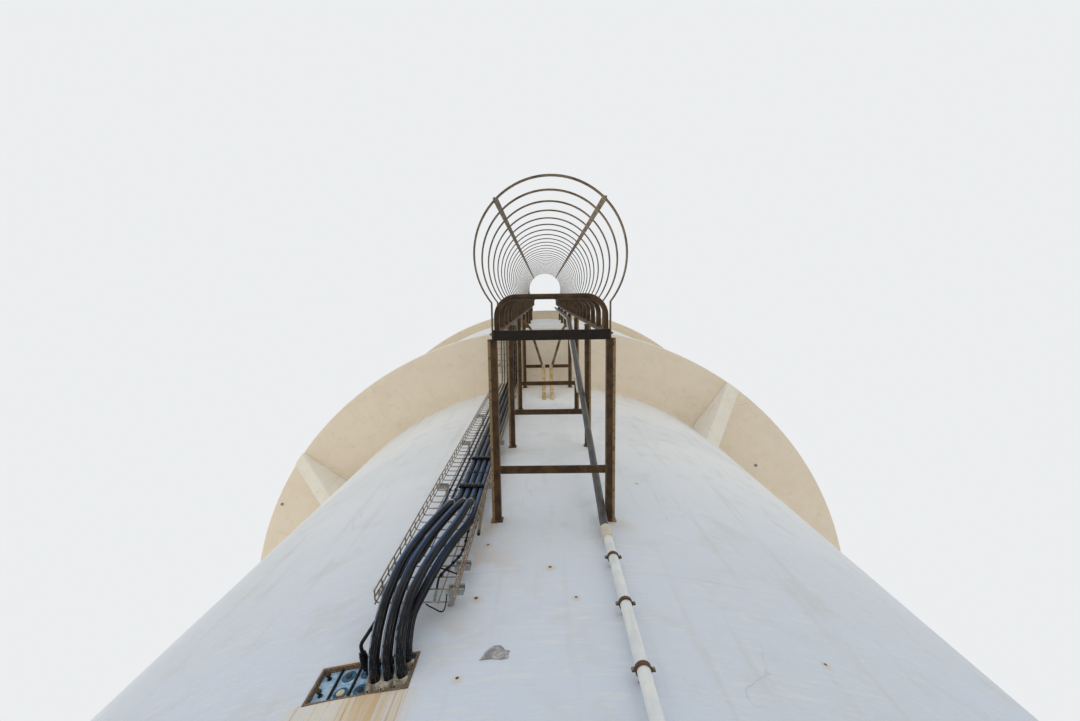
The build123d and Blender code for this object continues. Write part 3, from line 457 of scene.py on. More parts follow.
class Graph:
    """Shader nodes of one finish, with short calls for the ones that finishes share."""

    def __init__(self, name: str) -> None:
        """Start a material with its output and the coordinates that finishes use.

        Args:
            name: Name of the material.
        """
        self.material = bpy.data.materials.new(name)
        self.material.use_nodes = True
        self.tree = self.material.node_tree
        self.tree.nodes.clear()
        self.output = self.node("OutputMaterial")
        self.spot = self.node("TexCoord").outputs["Object"]
        apart = self.node("SeparateXYZ", {0: self.spot})
        self.along = {axis: apart.outputs[axis.value] for axis in Axis}
        self.normal = self.node("NewGeometry").outputs["Normal"]
        apart = self.node("SeparateXYZ", {0: self.normal})
        self.facing = {axis: apart.outputs[axis.value] for axis in Axis}

    def node(self, kind: str, inputs: dict | None = None, **settings: object) -> bpy.types.Node:
        """Add a node to the finish."""
        return add_node(self.tree, kind, inputs, **settings)

    def math(self, operation: str, *operands: object) -> Socket:
        """Calculate with values or sockets."""
        return self.node("Math", dict(enumerate(operands)), operation=operation).outputs[0]

    def vector(self, operation: str, *operands: object, output: str = "Vector") -> Socket:
        """Calculate with vectors."""
        return self.node("VectorMath", dict(enumerate(operands)), operation=operation).outputs[output]

    def stretched(self, scale: Point) -> Socket:
        """Coordinates scaled along each axis."""
        return self.vector("MULTIPLY", self.spot, scale)

    def noise(
        self, scale: float, detail: float = 3.0, rough: float = 0.55, stretch: Point = (1, 1, 1),
        warp: float = 0.0,
    ) -> Socket:
        """Fractal noise of about 0.3 to 0.7.

        Args:
            scale: Features to a metre.
            detail: Steps of ever finer noise.
            rough: Strength of the finer steps.
            stretch: Scale along each axis.
            warp: How far the noise warps itself.

        Returns:
            The noise.
        """
        spot = self.spot if tuple(stretch) == (1, 1, 1) else self.stretched(stretch)
        return self.node(
            "TexNoise",
            dict(zip(
                ("Vector", "Scale", "Detail", "Roughness", "Distortion"),
                (spot, scale, detail, rough, warp)))).outputs[0]

    def cells(self, scale: float, feature: str = "F1", warp: float = 0.0) -> Socket:
        """Distance pattern of scattered cells.

        Args:
            scale: Cells to a metre.
            feature: F1 for distance to a cell's middle, DISTANCE_TO_EDGE for its edge.
            warp: How far noise moves the cells' edges, in metres.

        Returns:
            The distance.
        """
        spot = self.spot
        if warp:
            shift = self.node("TexNoise", {"Vector": self.spot, "Scale": scale * 3, "Detail": 4.0})
            spot = self.vector("MULTIPLY_ADD", shift.outputs["Color"], (warp,) * 3, self.spot)
        made = self.node("TexVoronoi", {"Vector": spot, "Scale": scale}, feature=feature)
        return made.outputs["Distance"]

    def times(self, *factors: object) -> Socket:
        """Multiply sockets, values and soft steps, these as a socket with its low and its high."""
        parts = [self.ramp(*factor) if isinstance(factor, tuple) else factor for factor in factors]
        return reduce(lambda a, b: self.math("MULTIPLY", a, b), parts)

    def ramp(self, value: Socket, low: float, high: float) -> Socket:
        """Soft step from 0 to 1.

        Args:
            value: What is stepped.
            low: Value that gives 0.
            high: Value that gives 1, which may be the lesser.

        Returns:
            The step.
        """
        ends = (low, high, 0, 1) if low <= high else (high, low, 1, 0)
        return self.node(
            "MapRange", dict(enumerate((value, *ends))), interpolation_type="SMOOTHSTEP").outputs[0]

    def over(self, colour: object, *layers: tuple) -> Socket:
        """Lay tints over a colour.

        Args:
            colour: Colour below.
            layers: Tints in their order, each followed by the factors of its share.

        Returns:
            The colour that they give.
        """
        for tint, *factors in layers:
            inputs = {0: self.times(*factors), 6: colour, 7: tint}
            colour = self.node("Mix", inputs, data_type="RGBA").outputs[2]
        return colour

    def blot(self, x: float, z: float, radius: float, soft: float = 0.6) -> Socket:
        """Round mask on the tower's front, which fades over the soft share of its radius."""
        away = self.vector("DISTANCE", self.stretched((1, 0, 1)), (x, 0, z), output="Value")
        return self.times((away, radius, radius * (1 - soft)), (self.along[Axis.OUT], 0.2, 0))

    def between(self, axis: Axis, low: float, high: float, soft: float) -> Socket:
        """Mask of a band across an axis, with soft edges."""
        value = self.along[axis]
        return self.times((value, low - soft, low + soft), (value, high + soft, high - soft))

    def edges(self, radius: float) -> Socket:
        """Mask of the edges where paint wears off."""
        eased = self.node("Bevel", {"Radius": radius}, samples=4).outputs[0]
        return self.ramp(self.vector("DOT_PRODUCT", eased, self.normal, output="Value"), 0.97, 0.75)

    def relief(self, *layers: tuple[Socket, float]) -> Socket:
        """Relief of heights from 0 to 1, each laid on the one before.

        Args:
            layers: Each height with the metres that a height of 1 stands for.

        Returns:
            The normal.
        """
        normal = None
        for height, depth in layers:
            inputs = {"Height": height, "Distance": depth}
            if normal is not None:
                inputs["Normal"] = normal
            normal = self.node("Bump", inputs).outputs[0]
        return normal

    def shade(self, **inputs: object) -> None:
        """Finish with one shader.

        Args:
            inputs: The shader's inputs by name, with _ for blanks.
        """
        named = {key.replace("_", " "): value for key, value in inputs.items()}
        shader = self.node("BsdfPrincipled", named)
        self.tree.links.new(shader.outputs[0], self.output.inputs[0])


@dataclass(frozen=True)
class Finish:
    """A surface finish. Each kind draws its own nodes."""

    name: str

    def draw(self, graph: Graph) -> None:
        """Draw the finish's nodes."""
        raise NotImplementedError

    def material(self) -> bpy.types.Material:
        """Make the finish's material, or find it if it was made before.

        Returns:
            The material.
        """
        label = f"{self.name}_finish"
        made = bpy.data.materials.get(label)
        if made is None:
            graph = Graph(label)
            self.draw(graph)
            made = graph.material
        return made


@dataclass(frozen=True)
class Masonry(Finish):
    """White masonry paint on render, with painted warm bounce light (partly a weathered tan) below slabs,
    painted bluish shade on the lower front wall, cracks, drips and rust.
    """

    # Bluish painted shade of skylight on the lower front wall, laid over the plain white of the wall.
    painted_shade_low_wall: Colour = seen("dce3f0")
    high_wall: Colour = seen("f6f4f3")
    # Warm tan on undersides and, where a share is set, on sides: painted bounce light from the floor,
    # partly a weathered tan, broken into patches by the second tint.
    painted_bounce: Colour = seen("f8ebd9")
    painted_bounce_clouded: Colour = seen("f0e1cc")
    deck: Colour = seen("c4c1b8")
    grime: Colour = seen("96876c")
    slab_z: float = 7.6
    painted_bounce_sides: float = 0.0
    front_marks: bool = False
    lifts: tuple[float, ...] = (3.42, 5.03, 6.65)
    pits: tuple[Point, ...] = (
        (-0.023, 3.44, 0.009), (0.07, 3.24, 0.007), (-0.305, 2.88, 0.007), (-0.302, 3.26, 0.01),
        (-0.302, 3.65, 0.008), (0.52, 4.42, 0.007), (-0.72, 4.15, 0.006), (0.88, 3.05, 0.007))

    def draw(self, graph: Graph) -> None:
        """Draw paint with its painted shade and painted bounce light, brush marks, cracks, drips and, on
        the front wall, its own marks.

        Args:
            graph: Where the nodes go.
        """
        broad = graph.noise(0.7, 4, warp=0.5)
        patch = graph.noise(5, 5, warp=0.6)
        strokes = graph.noise(9, 3, stretch=(1, 1, 7), warp=0.8)
        drips = graph.noise(16, 3, stretch=(1, 1, 0.06))
        # Painted shade: the lower front wall is tinted bluish as if in skylight shade, fading upwards and
        # towards the back; the other tints are random tone.
        colour = graph.over(
            self.high_wall,
            (self.painted_shade_low_wall, (graph.along[Axis.UP], 6, 2.4), (graph.along[Axis.OUT], 0.5, -2)),
            (seen("dee2e6"), (broad, 0.42, 0.62), 0.4), (seen("d4d3ce"), (patch, 0.5, 0.72), 0.3),
            (seen("f0efea"), (strokes, 0.5, 0.75), 0.5))
        # Painted bounce light: faces turned down, and the set share of every face, take the warm tan as if
        # lit from the floor below; faces turned up take the grey deck colour.
        down = graph.ramp(graph.facing[Axis.UP], -0.35, -0.7)
        up = graph.ramp(graph.facing[Axis.UP], 0.5, 0.8)
        painted_bounce = graph.math("MAXIMUM", down, self.painted_bounce_sides)
        painted_bounce_clouded = graph.over(self.painted_bounce, (self.painted_bounce_clouded, (patch, 0.4, 0.7), 0.5))
        colour = graph.over(
            colour, (painted_bounce_clouded, painted_bounce),
            (graph.over(self.deck, (seen("a09c92"), (patch, 0.35, 0.65), 0.35)), up))
        colour = self.drip(graph, colour, drips)
        cracks = self.cracks(graph)
        colour = graph.over(colour, (seen("968e82"), cracks, 0.3))
        if self.front_marks:
            colour = self.front(graph, colour, drips)
        normal = graph.relief(
            (strokes, 0.0024), (graph.noise(34, 4, 0.6), 0.0022), (graph.noise(150, 4, 0.65), 0.0007),
            (cracks, -0.0012))
        graph.shade(Base_Color=colour, Roughness=0.78, Specular_IOR_Level=0.3, Normal=normal)

    def drip(self, graph: Graph, colour: object, drips: Socket) -> Socket:
        """Tan runs below the slabs and splashed dirt at the foot.

        Args:
            graph: Where the nodes go.
            colour: Colour so far.
            drips: Upright streaky noise.

        Returns:
            The stained colour.
        """
        height = graph.along[Axis.UP]
        ragged = graph.math("MULTIPLY_ADD", drips, 0.5, -0.25)
        reach = graph.math("ADD", height, ragged)
        colour = graph.over(
            colour,
            (seen("d6c4a2"), (reach, self.slab_z - 0.22, self.slab_z + 0.02),
             (height, self.slab_z + 0.05, self.slab_z), 0.35))
        runs = graph.times((drips, 0.56, 0.74), 0.22)
        return graph.over(colour, (seen("cec8bc"), runs), (self.grime, (reach, 0.75, 0.1), 0.55))

    def cracks(self, graph: Graph) -> Socket:
        """Hairline cracks in patches, and faint level joints.

        Args:
            graph: Where the nodes go.

        Returns:
            The mask of the cracks.
        """
        line = graph.ramp(graph.cells(1.1, "DISTANCE_TO_EDGE", warp=0.35), 0.004, 0)
        net = graph.times(line, (graph.noise(0.9, 2), 0.54, 0.64))
        for z in self.lifts:
            sway = graph.math("MULTIPLY_ADD", graph.noise(1.4, 3), 0.03, z - 0.015)
            gap = graph.math("ABSOLUTE", graph.math("SUBTRACT", graph.along[Axis.UP], sway))
            joint = graph.times((gap, 0.004, 0.001), (graph.noise(2.2, 2), 0.42, 0.58), 0.5)
            net = graph.math("MAXIMUM", net, joint)
        return net

    def front(self, graph: Graph, colour: object, drips: Socket) -> Socket:
        """Rust below the transit, stains round the tray's foot and small pits.

        Args:
            graph: Where the nodes go.
            colour: Colour so far.
            drips: Upright streaky noise.

        Returns:
            The stained colour.
        """
        height = graph.along[Axis.UP]
        front = graph.ramp(graph.along[Axis.OUT], 0.2, 0)
        fine = graph.noise(70, 3, stretch=(1, 1, 0.035))
        below = graph.times((height, 2.872, 2.862), (height, 1.75, 2.8), front)
        wide = graph.times(below, graph.between(Axis.ACROSS, -0.8, -0.44, 0.06))
        strong = graph.times(below, graph.between(Axis.ACROSS, -0.61, -0.47, 0.06))
        wash = graph.math("MAXIMUM", graph.ramp(fine, 0.2, 0.62), graph.ramp(drips, 0.3, 0.6))
        colour = graph.over(
            colour, (seen("ebd9b4"), wide, wash, 0.6), (seen("d4ac70"), strong, (fine, 0.1, 0.65), 0.8))
        thread = graph.noise(150, 2, stretch=(1, 1, 0.02))
        colour = graph.over(colour, (seen("ba8648"), wide, (thread, 0.58, 0.66), 0.55))
        cloud = graph.noise(7, 4)
        for x, z, radius, share in (
            (-0.34, 3.5, 0.3, 0.4), (-0.325, 3.82, 0.14, 0.6), (0.325, 3.83, 0.11, 0.35),
            (-0.33, 4.98, 0.14, 0.45), (0.33, 5, 0.1, 0.3), (-0.4, 3.1, 0.22, 0.35),
            (-0.32, 6.2, 0.14, 0.4), (0.32, 6.2, 0.1, 0.3),
        ):
            colour = graph.over(
                colour, (seen("d0bb9e"), graph.blot(x, z, radius, 1), (cloud, 0.36, 0.6), share))
        colour = graph.over(
            colour,
            (seen("bc9868"), (drips, 0.5, 0.68), graph.between(Axis.ACROSS, -0.4, -0.27, 0.03),
             (height, 3.88, 3.84), (height, 3.1, 3.8), front, 0.6))
        for x, z, size in self.pits:
            colour = graph.over(
                colour, (seen("dec096"), graph.blot(x, z - size, size * 4, 1), 0.5),
                (seen("544234"), graph.blot(x, z, size, 0.5)))
        return colour


@dataclass(frozen=True)
class PaintedMetal(Finish):
    """Brushed-on paint over steel, worn at its edges, with rust coming through and, where set, a painted
    highlight strip along outer edges.
    """

    paint: Colour = seen("543d23")
    deep: Colour = seen("382717")
    worn: Colour = seen("a88e68")
    rust: Colour = seen("7a4822")
    wear: float = 0.5
    rusting: float = 0.25
    dust: float = 0.3
    roughness: float = 0.5
    arris: float = 0.0018
    grain: float = 60.0
    # Share of a painted highlight: a light strip on the outer part of the bracket arms and foot plates.
    painted_edge_highlight: float = 0.0

    def draw(self, graph: Graph) -> None:
        """Draw paint, brush grain, worn edges, a painted edge highlight where set, rust and settled dust.

        Args:
            graph: Where the nodes go.
        """
        patch = graph.noise(self.grain * 0.25, 5, warp=0.4)
        grain = graph.noise(self.grain, 4, 0.65)
        colour = graph.over(self.paint, (self.deep, (patch, 0.36, 0.66)))
        worn = graph.times(graph.edges(self.arris), (grain, 0.4, 0.56), self.wear)
        colour = graph.over(colour, (self.worn, worn))
        # Painted highlight: the parts of bracket arms and foot plates beyond about 0.29 m from the middle
        # turn lighter, as if the flange caught the light; drawn in the worn colour.
        if self.painted_edge_highlight:
            away = graph.math("ABSOLUTE", graph.along[Axis.ACROSS])
            colour = graph.over(colour, (self.worn, (away, 0.288, 0.294), (grain, 0.3, 0.5), self.painted_edge_highlight))
        rusty = graph.times((graph.noise(self.grain * 0.5, 6, 0.7), 0.56, 0.68), self.rusting)
        colour = graph.over(colour, (self.rust, rusty))
        settled = graph.times((graph.facing[Axis.UP], 0.55, 0.95), (patch, 0.3, 0.6), self.dust)
        colour = graph.over(colour, (seen("b0a48c"), settled))
        rough = graph.math("MULTIPLY_ADD", rusty, 0.35, self.roughness)
        normal = graph.relief((grain, 0.0006), (rusty, 0.0008))
        graph.shade(Base_Color=colour, Roughness=rough, Specular_IOR_Level=0.3, Normal=normal)


@dataclass(frozen=True)
class BareMetal(Finish):
    """Bare or zinc-coated steel with spangle, tarnish and rust."""

    metal: Colour = seen("b0b0ac")
    dull: Colour = seen("84827c")
    rust: Colour = seen("8c582e")
    rusting: float = 0.35
    roughness: float = 0.42
    metallic: float = 0.75
    grain: float = 80.0

    def draw(self, graph: Graph) -> None:
        """Draw spangle, tarnish and rust.

        Args:
            graph: Where the nodes go.
        """
        spangle = graph.cells(self.grain * 1.6)
        patch = graph.noise(self.grain * 0.3, 4)
        colour = graph.over(
            self.metal, (self.dull, (spangle, 0.1, 0.7)), (self.dull, (patch, 0.45, 0.65), 0.5))
        rusty = graph.times((graph.noise(self.grain * 0.4, 6, 0.72), 0.48, 0.62), self.rusting)
        colour = graph.over(colour, (self.rust, rusty))
        rough = graph.math("MULTIPLY_ADD", rusty, 0.4, self.roughness)
        normal = graph.relief((graph.noise(self.grain * 3, 4), 0.0004), (rusty, 0.0005))
        graph.shade(Base_Color=colour, Metallic=self.metallic, Roughness=rough, Normal=normal)


@dataclass(frozen=True)
class Plastic(Finish):
    """Moulded or extruded plastic, chalked by weather and streaked with dirt."""

    body: Colour = seen("d6d8d5")
    chalk: Colour = seen("e4e4e0")
    dirt: Colour = seen("968a76")
    dirty: float = 0.35
    roughness: float = 0.45

    def draw(self, graph: Graph) -> None:
        """Draw chalking, dirt streaks and fine scratches.

        Args:
            graph: Where the nodes go.
        """
        patch = graph.noise(14, 4)
        streaks = graph.noise(60, 3, stretch=(1, 1, 0.08))
        colour = graph.over(
            self.body, (self.chalk, (patch, 0.4, 0.65)), (self.dirt, (streaks, 0.5, 0.7), self.dirty),
            (self.dirt, (graph.noise(130, 3), 0.62, 0.7), self.dirty))
        rough = graph.math("MULTIPLY_ADD", patch, 0.2, self.roughness - 0.1)
        normal = graph.relief((graph.noise(220, 3, stretch=(1, 1, 0.2)), 0.0002))
        graph.shade(Base_Color=colour, Roughness=rough, Specular_IOR_Level=0.4, Normal=normal)


@dataclass(frozen=True)
class Sheath(Finish):
    """Black cable sheath with a soft sheen, scuffed and dusty, with a painted bluish reflection of skylight
    on its left flank and a painted highlight line.
    """

    body: Colour = seen("0f0e0f")
    scuff: Colour = seen("323030")
    # Colour of the painted reflection of skylight; the share below also sets the painted highlight line and
    # the real grey scrapes.
    painted_skylight_reflection: Colour = seen("224a7a")
    reflection_and_scrape_share: float = 0.0
    roughness: float = 0.36

    def draw(self, graph: Graph) -> None:
        """Draw sheath, lengthwise scuffs, dust, the painted reflection and the painted highlight line.

        Args:
            graph: Where the nodes go.
        """
        scuffs = graph.noise(110, 4, stretch=(1, 1, 0.12))
        round_it = graph.vector("MULTIPLY_ADD", graph.normal, (10, 10, 2), graph.stretched((2, 2, 2.5)))
        scrapes = graph.node("TexNoise", {"Vector": round_it, "Scale": 1, "Detail": 3.0}).outputs[0]
        patch = graph.noise(18, 4)
        across, height = graph.facing[Axis.ACROSS], graph.along[Axis.UP]
        # Painted reflection: the left flank turns bluish as if mirroring skylight, between set heights;
        # painted highlight: a thin pale line further round the left flank. The grey scrapes low down are
        # real scuffing.
        colour = graph.over(
            self.body, (self.scuff, (scuffs, 0.52, 0.72), 0.4), (seen("544c44"), (patch, 0.5, 0.7), 0.15),
            (self.painted_skylight_reflection, (across, 0.42, -0.1), (height, 3.1, 3.35), (height, 5.2, 3.9), self.reflection_and_scrape_share),
            (seen("847e76"), (height, 3.9, 3.2), (scrapes, 0.55, 0.66), self.reflection_and_scrape_share * 0.5),
            (seen("96b0cc"), (across, -0.5, -0.62), (across, -0.86, -0.74), (scuffs, 0.36, 0.5),
             self.reflection_and_scrape_share * 0.85))
        rough = graph.math("MULTIPLY_ADD", patch, 0.3, self.roughness - 0.12)
        normal = graph.relief((scuffs, 0.0004))
        graph.shade(
            Base_Color=colour, Roughness=rough, Specular_IOR_Level=0.22, Specular_Tint=seen("cddcff"),
            Normal=normal)


@dataclass(frozen=True)
class Rubber(Finish):
    """Moulded rubber with a bloom and a fine texture."""

    body: Colour = seen("96bcdc")
    bloom: Colour = seen("bad6ec")
    grime: Colour = seen("46484a")
    roughness: float = 0.62

    def draw(self, graph: Graph) -> None:
        """Draw bloom, grime and texture.

        Args:
            graph: Where the nodes go.
        """
        patch = graph.noise(45, 4)
        grime = graph.noise(160, 5, 0.65)
        colour = graph.over(
            self.body, (self.bloom, (patch, 0.38, 0.64)), (self.grime, (grime, 0.54, 0.68), 0.55))
        normal = graph.relief((grime, 0.0005))
        graph.shade(Base_Color=colour, Roughness=self.roughness, Specular_IOR_Level=0.35, Normal=normal)


@dataclass(frozen=True)
class Mortar(Finish):
    """Bare mortar or putty with grit."""

    body: Colour = seen("969496")
    light: Colour = seen("c4c2c2")
    dark: Colour = seen("605850")
    depth: float = 0.004

    def draw(self, graph: Graph) -> None:
        """Draw grit, laitance and stains.

        Args:
            graph: Where the nodes go.
        """
        grit = graph.cells(190)
        patch = graph.noise(30, 5, 0.65)
        colour = graph.over(
            self.body, (self.light, (patch, 0.38, 0.62)), (self.dark, (grit, 0.5, 0.15), 0.5))
        normal = graph.relief((patch, self.depth), (grit, 0.0015))
        graph.shade(Base_Color=colour, Roughness=0.9, Specular_IOR_Level=0.2, Normal=normal)


@dataclass(frozen=True)
class Pane(Finish):
    """Clear lantern glass with a faint green tint, salt and dust."""

    tint: Colour = seen("def0ec")

    def draw(self, graph: Graph) -> None:
        """Draw glass that is dusty towards its foot.

        Args:
            graph: Where the nodes go.
        """
        dust = graph.noise(9, 5, stretch=(1, 1, 0.3))
        rough = graph.math("MULTIPLY_ADD", graph.ramp(dust, 0.45, 0.75), 0.25, 0.03)
        graph.shade(
            Base_Color=self.tint, Roughness=rough, IOR=1.45, Transmission_Weight=0.92,
            Normal=graph.relief((graph.noise(6, 2), 0.0004)))


WHITE_WALL = Masonry("white_render_wall", front_marks=True)
WHITE_RENDER = Masonry("white_render", slab_z=11.5, lifts=())
# Ribs: painted warm bounce light on their undersides and, at three quarters, on every other face.
BOUNCE_LIT_RENDER = Masonry(
    "bounce_lit_render", painted_bounce=seen("faf5ea"), painted_bounce_clouded=seen("f3ebdb"), painted_bounce_sides=0.75, slab_z=0, lifts=())
# Wear and arris raised so the worn edges partly stand in for lit flange edges: partly real wear, partly
# painted highlight; the 0.7 share is the painted highlight strip.
LADDER_PAINT = PaintedMetal("ladder_brown_paint", wear=0.85, arris=0.004, painted_edge_highlight=0.7)
# Darker copy of the ladder's brown paint: painted shade on the bottom bar, which is seen only from below.
BAR_SHADED_PAINT = PaintedMetal("bar_shaded_paint", paint=seen("20160f"), deep=seen("18110c"), wear=0.4, rusting=0.1)
RUNG_PAINT = PaintedMetal("rung_brown_paint", wear=0, dust=0.45, roughness=0.45)
# Pale worn edges, heavy here, are partly real wear and partly a painted highlight standing in for the
# hoops' sunlit edges.
CAGE_STEEL = PaintedMetal(
    "cage_weathered_steel", paint=seen("806f58"), deep=seen("544636"), worn=seen("ccbea4"), wear=0.8,
    rusting=0.35, dust=0.5, roughness=0.55)
CREAM_PAINT = PaintedMetal(
    "cream_paint", paint=seen("d8c296"), deep=seen("ba9866"), worn=seen("784c2a"), rust=seen("80522c"),
    wear=0.9, rusting=0.8, dust=0.1, arris=0.006)
WHITE_METAL = PaintedMetal(
    "white_metal_paint", paint=seen("e4e6e6"), deep=seen("d4d6d6"), worn=seen("a8a094"),
    rust=seen("9e6c42"), wear=0.5, rusting=0.2, dust=0.15, roughness=0.38)
DOOR_PAINT = PaintedMetal(
    "door_grey_paint", paint=seen("8c9496"), deep=seen("7a8286"), worn=seen("bebcb6"), wear=0.5,
    rusting=0.25, dust=0.15, roughness=0.42)
BOLT_ZINC = BareMetal("bolt_zinc", rusting=0.6)
TRAY_WIRE = BareMetal(
    "tray_wire", metal=seen("bab2a6"), dull=seen("8e806e"), rusting=0.6, metallic=0.35, roughness=0.55)
STEEL_BRIGHT = BareMetal("bright_steel", rusting=0.08, roughness=0.3, metallic=1)
TRANSIT_STEEL = BareMetal(
    "transit_steel", metal=seen("98846a"), dull=seen("705e4a"), rusting=0.45, metallic=0, roughness=0.7)
CLAMP_RUST = BareMetal(
    "clamp_rust", metal=seen("70583e"), dull=seen("523a26"), rusting=0.8, metallic=0.2, roughness=0.7)
WHITE_PIPE = Plastic("white_pipe_plastic", body=seen("e2e5e6"), chalk=seen("eeeeea"), dirty=0.12)
GREY_PIPE = Plastic(
    "grey_pipe_plastic", body=seen("424242"), chalk=seen("565654"), dirt=seen("46423c"), dirty=0.3)
RAIL_ZINC = BareMetal(
    "rail_zinc", metal=seen("c0c2c4"), dull=seen("9c9ea0"), rusting=0.15, metallic=0.5, roughness=0.5)
GREEN_SLEEVE = Plastic("sleeve_grey_green", body=seen("6e8476"), chalk=seen("8e9e92"))
BEIGE_PLASTIC = Plastic("beige_plastic", body=seen("d4cab6"), chalk=seen("ded6c6"), dirty=0.2)
CABLE_SHEATH = Sheath("cable_sheath", reflection_and_scrape_share=0.85)
TIE_PLASTIC = Sheath("tie_black_plastic", body=seen("141416"), roughness=0.4)
MODULE_RUBBER = Rubber("module_rubber")
CORE_RUBBER = Rubber("core_dark_rubber", body=seen("345c7c"), bloom=seen("4c7694"))
SEAL_RUBBER = Rubber("seal_black_rubber", body=seen("1e1e20"), bloom=seen("303032"))
BLANK_BEIGE = Rubber("blank_beige", body=seen("cebea0"), bloom=seen("ded2ba"))
BARE_MORTAR = Mortar("bare_mortar")
SEAL_PUTTY = Mortar(
    "seal_putty", body=seen("8e8476"), light=seen("d6cec0"), dark=seen("3c3630"), depth=0.002)
LANTERN_GLASS = Pane("lantern_glass_clear")


@dataclass
class PhotoCamera:
    """Camera near the tower's foot that looks up along its wall."""

    place: Point = (-0.036, -4.353, 1.6)
    lens: float = 16.0
    sensor: float = 36.0
    lean: float = 0.1297
    roll: float = 0.055
    yaw: float = -0.0686

    def build(self) -> None:
        """Make the camera and set it as the scene's."""
        flat = Vector((sin(self.yaw), cos(self.yaw), 0))
        up = Vector((0, 0, 1))
        forward = flat * sin(self.lean) + up * cos(self.lean)
        upwards = up * sin(self.lean) - flat * cos(self.lean)
        right = Vector((cos(self.yaw), -sin(self.yaw), 0))
        x_axis = right * cos(self.roll) + upwards * sin(self.roll)
        y_axis = upwards * cos(self.roll) - right * sin(self.roll)
        data = bpy.data.cameras.new("photo_camera")
        data.lens = self.lens
        data.sensor_width = self.sensor
        data.clip_start = 0.05
        data.clip_end = 1000.0
        camera = add_object("photo_camera", data)
        camera.matrix_world = moved(*self.place) @ Matrix((x_axis, y_axis, -forward)).transposed().to_4x4()
        bpy.context.scene.camera = camera


@dataclass
class Studio:
    """Plain pale floor, pale backdrop and soft light from the left."""

    floor_radius: float = 400.0
    floor_colour: Colour = seen("e2dbcf")
    backdrop: Colour = seen("eceef0")
    ambient: Colour = (0.86, 0.93, 1)
    ambient_strength: float = 0.88
    key_colour: Colour = (1, 0.93, 0.82)
    key_strength: float = 1.15
    key_from: Point = (-0.72, 0.5, 0.48)
    key_angle: float = 9.0

    def build(self) -> None:
        """Make the floor, the backdrop and the lights."""
        bpy.context.scene.view_settings.view_transform = "Standard"
        self.floor()
        self.world()
        data = bpy.data.lights.new("key", "SUN")
        data.energy = self.key_strength
        data.color = self.key_colour
        data.angle = radians(self.key_angle)
        key = add_object("key", data)
        key.rotation_mode = "QUATERNION"
        key.rotation_quaternion = Vector(self.key_from).to_track_quat("Z", "Y")

    def floor(self) -> None:
        """Make a wide pale disc for the floor."""
        mesh = bpy.data.meshes.new("floor")
        rim = [around(self.floor_radius, 360 * k / 96, -0.002) for k in range(96)]
        mesh.from_pydata([tuple(p) for p in rim], [], [tuple(range(96))])
        graph = Graph("floor_plain")
        graph.shade(Base_Color=self.floor_colour, Roughness=0.9)
        mesh.materials.append(graph.material)
        floor = add_object("floor", mesh)

    def world(self) -> None:
        """Light the tower evenly and show the pale backdrop to the camera and in reflections."""
        world = bpy.data.worlds.new("studio")
        bpy.context.scene.world = world
        world.use_nodes = True
        tree = world.node_tree
        tree.nodes.clear()
        light = add_node(tree, "Background", {0: self.ambient, 1: self.ambient_strength})
        shown = add_node(tree, "Background", {0: self.backdrop})
        rays = add_node(tree, "LightPath").outputs
        either = rays["Is Camera Ray"]
        for name in ("Is Glossy Ray", "Is Transmission Ray"):
            either = add_node(tree, "Math", {0: either, 1: rays[name]}, operation="MAXIMUM").outputs[0]
        blend = add_node(tree, "MixShader", {0: either, 1: light.outputs[0], 2: shown.outputs[0]})
        add_node(tree, "OutputWorld", {0: blend.outputs[0]})


@dataclass(frozen=True)
class WallOpening:
    """Square opening with parallel sides through a round wall."""

    azimuth: float
    half_width: float
    foot: float
    head: float


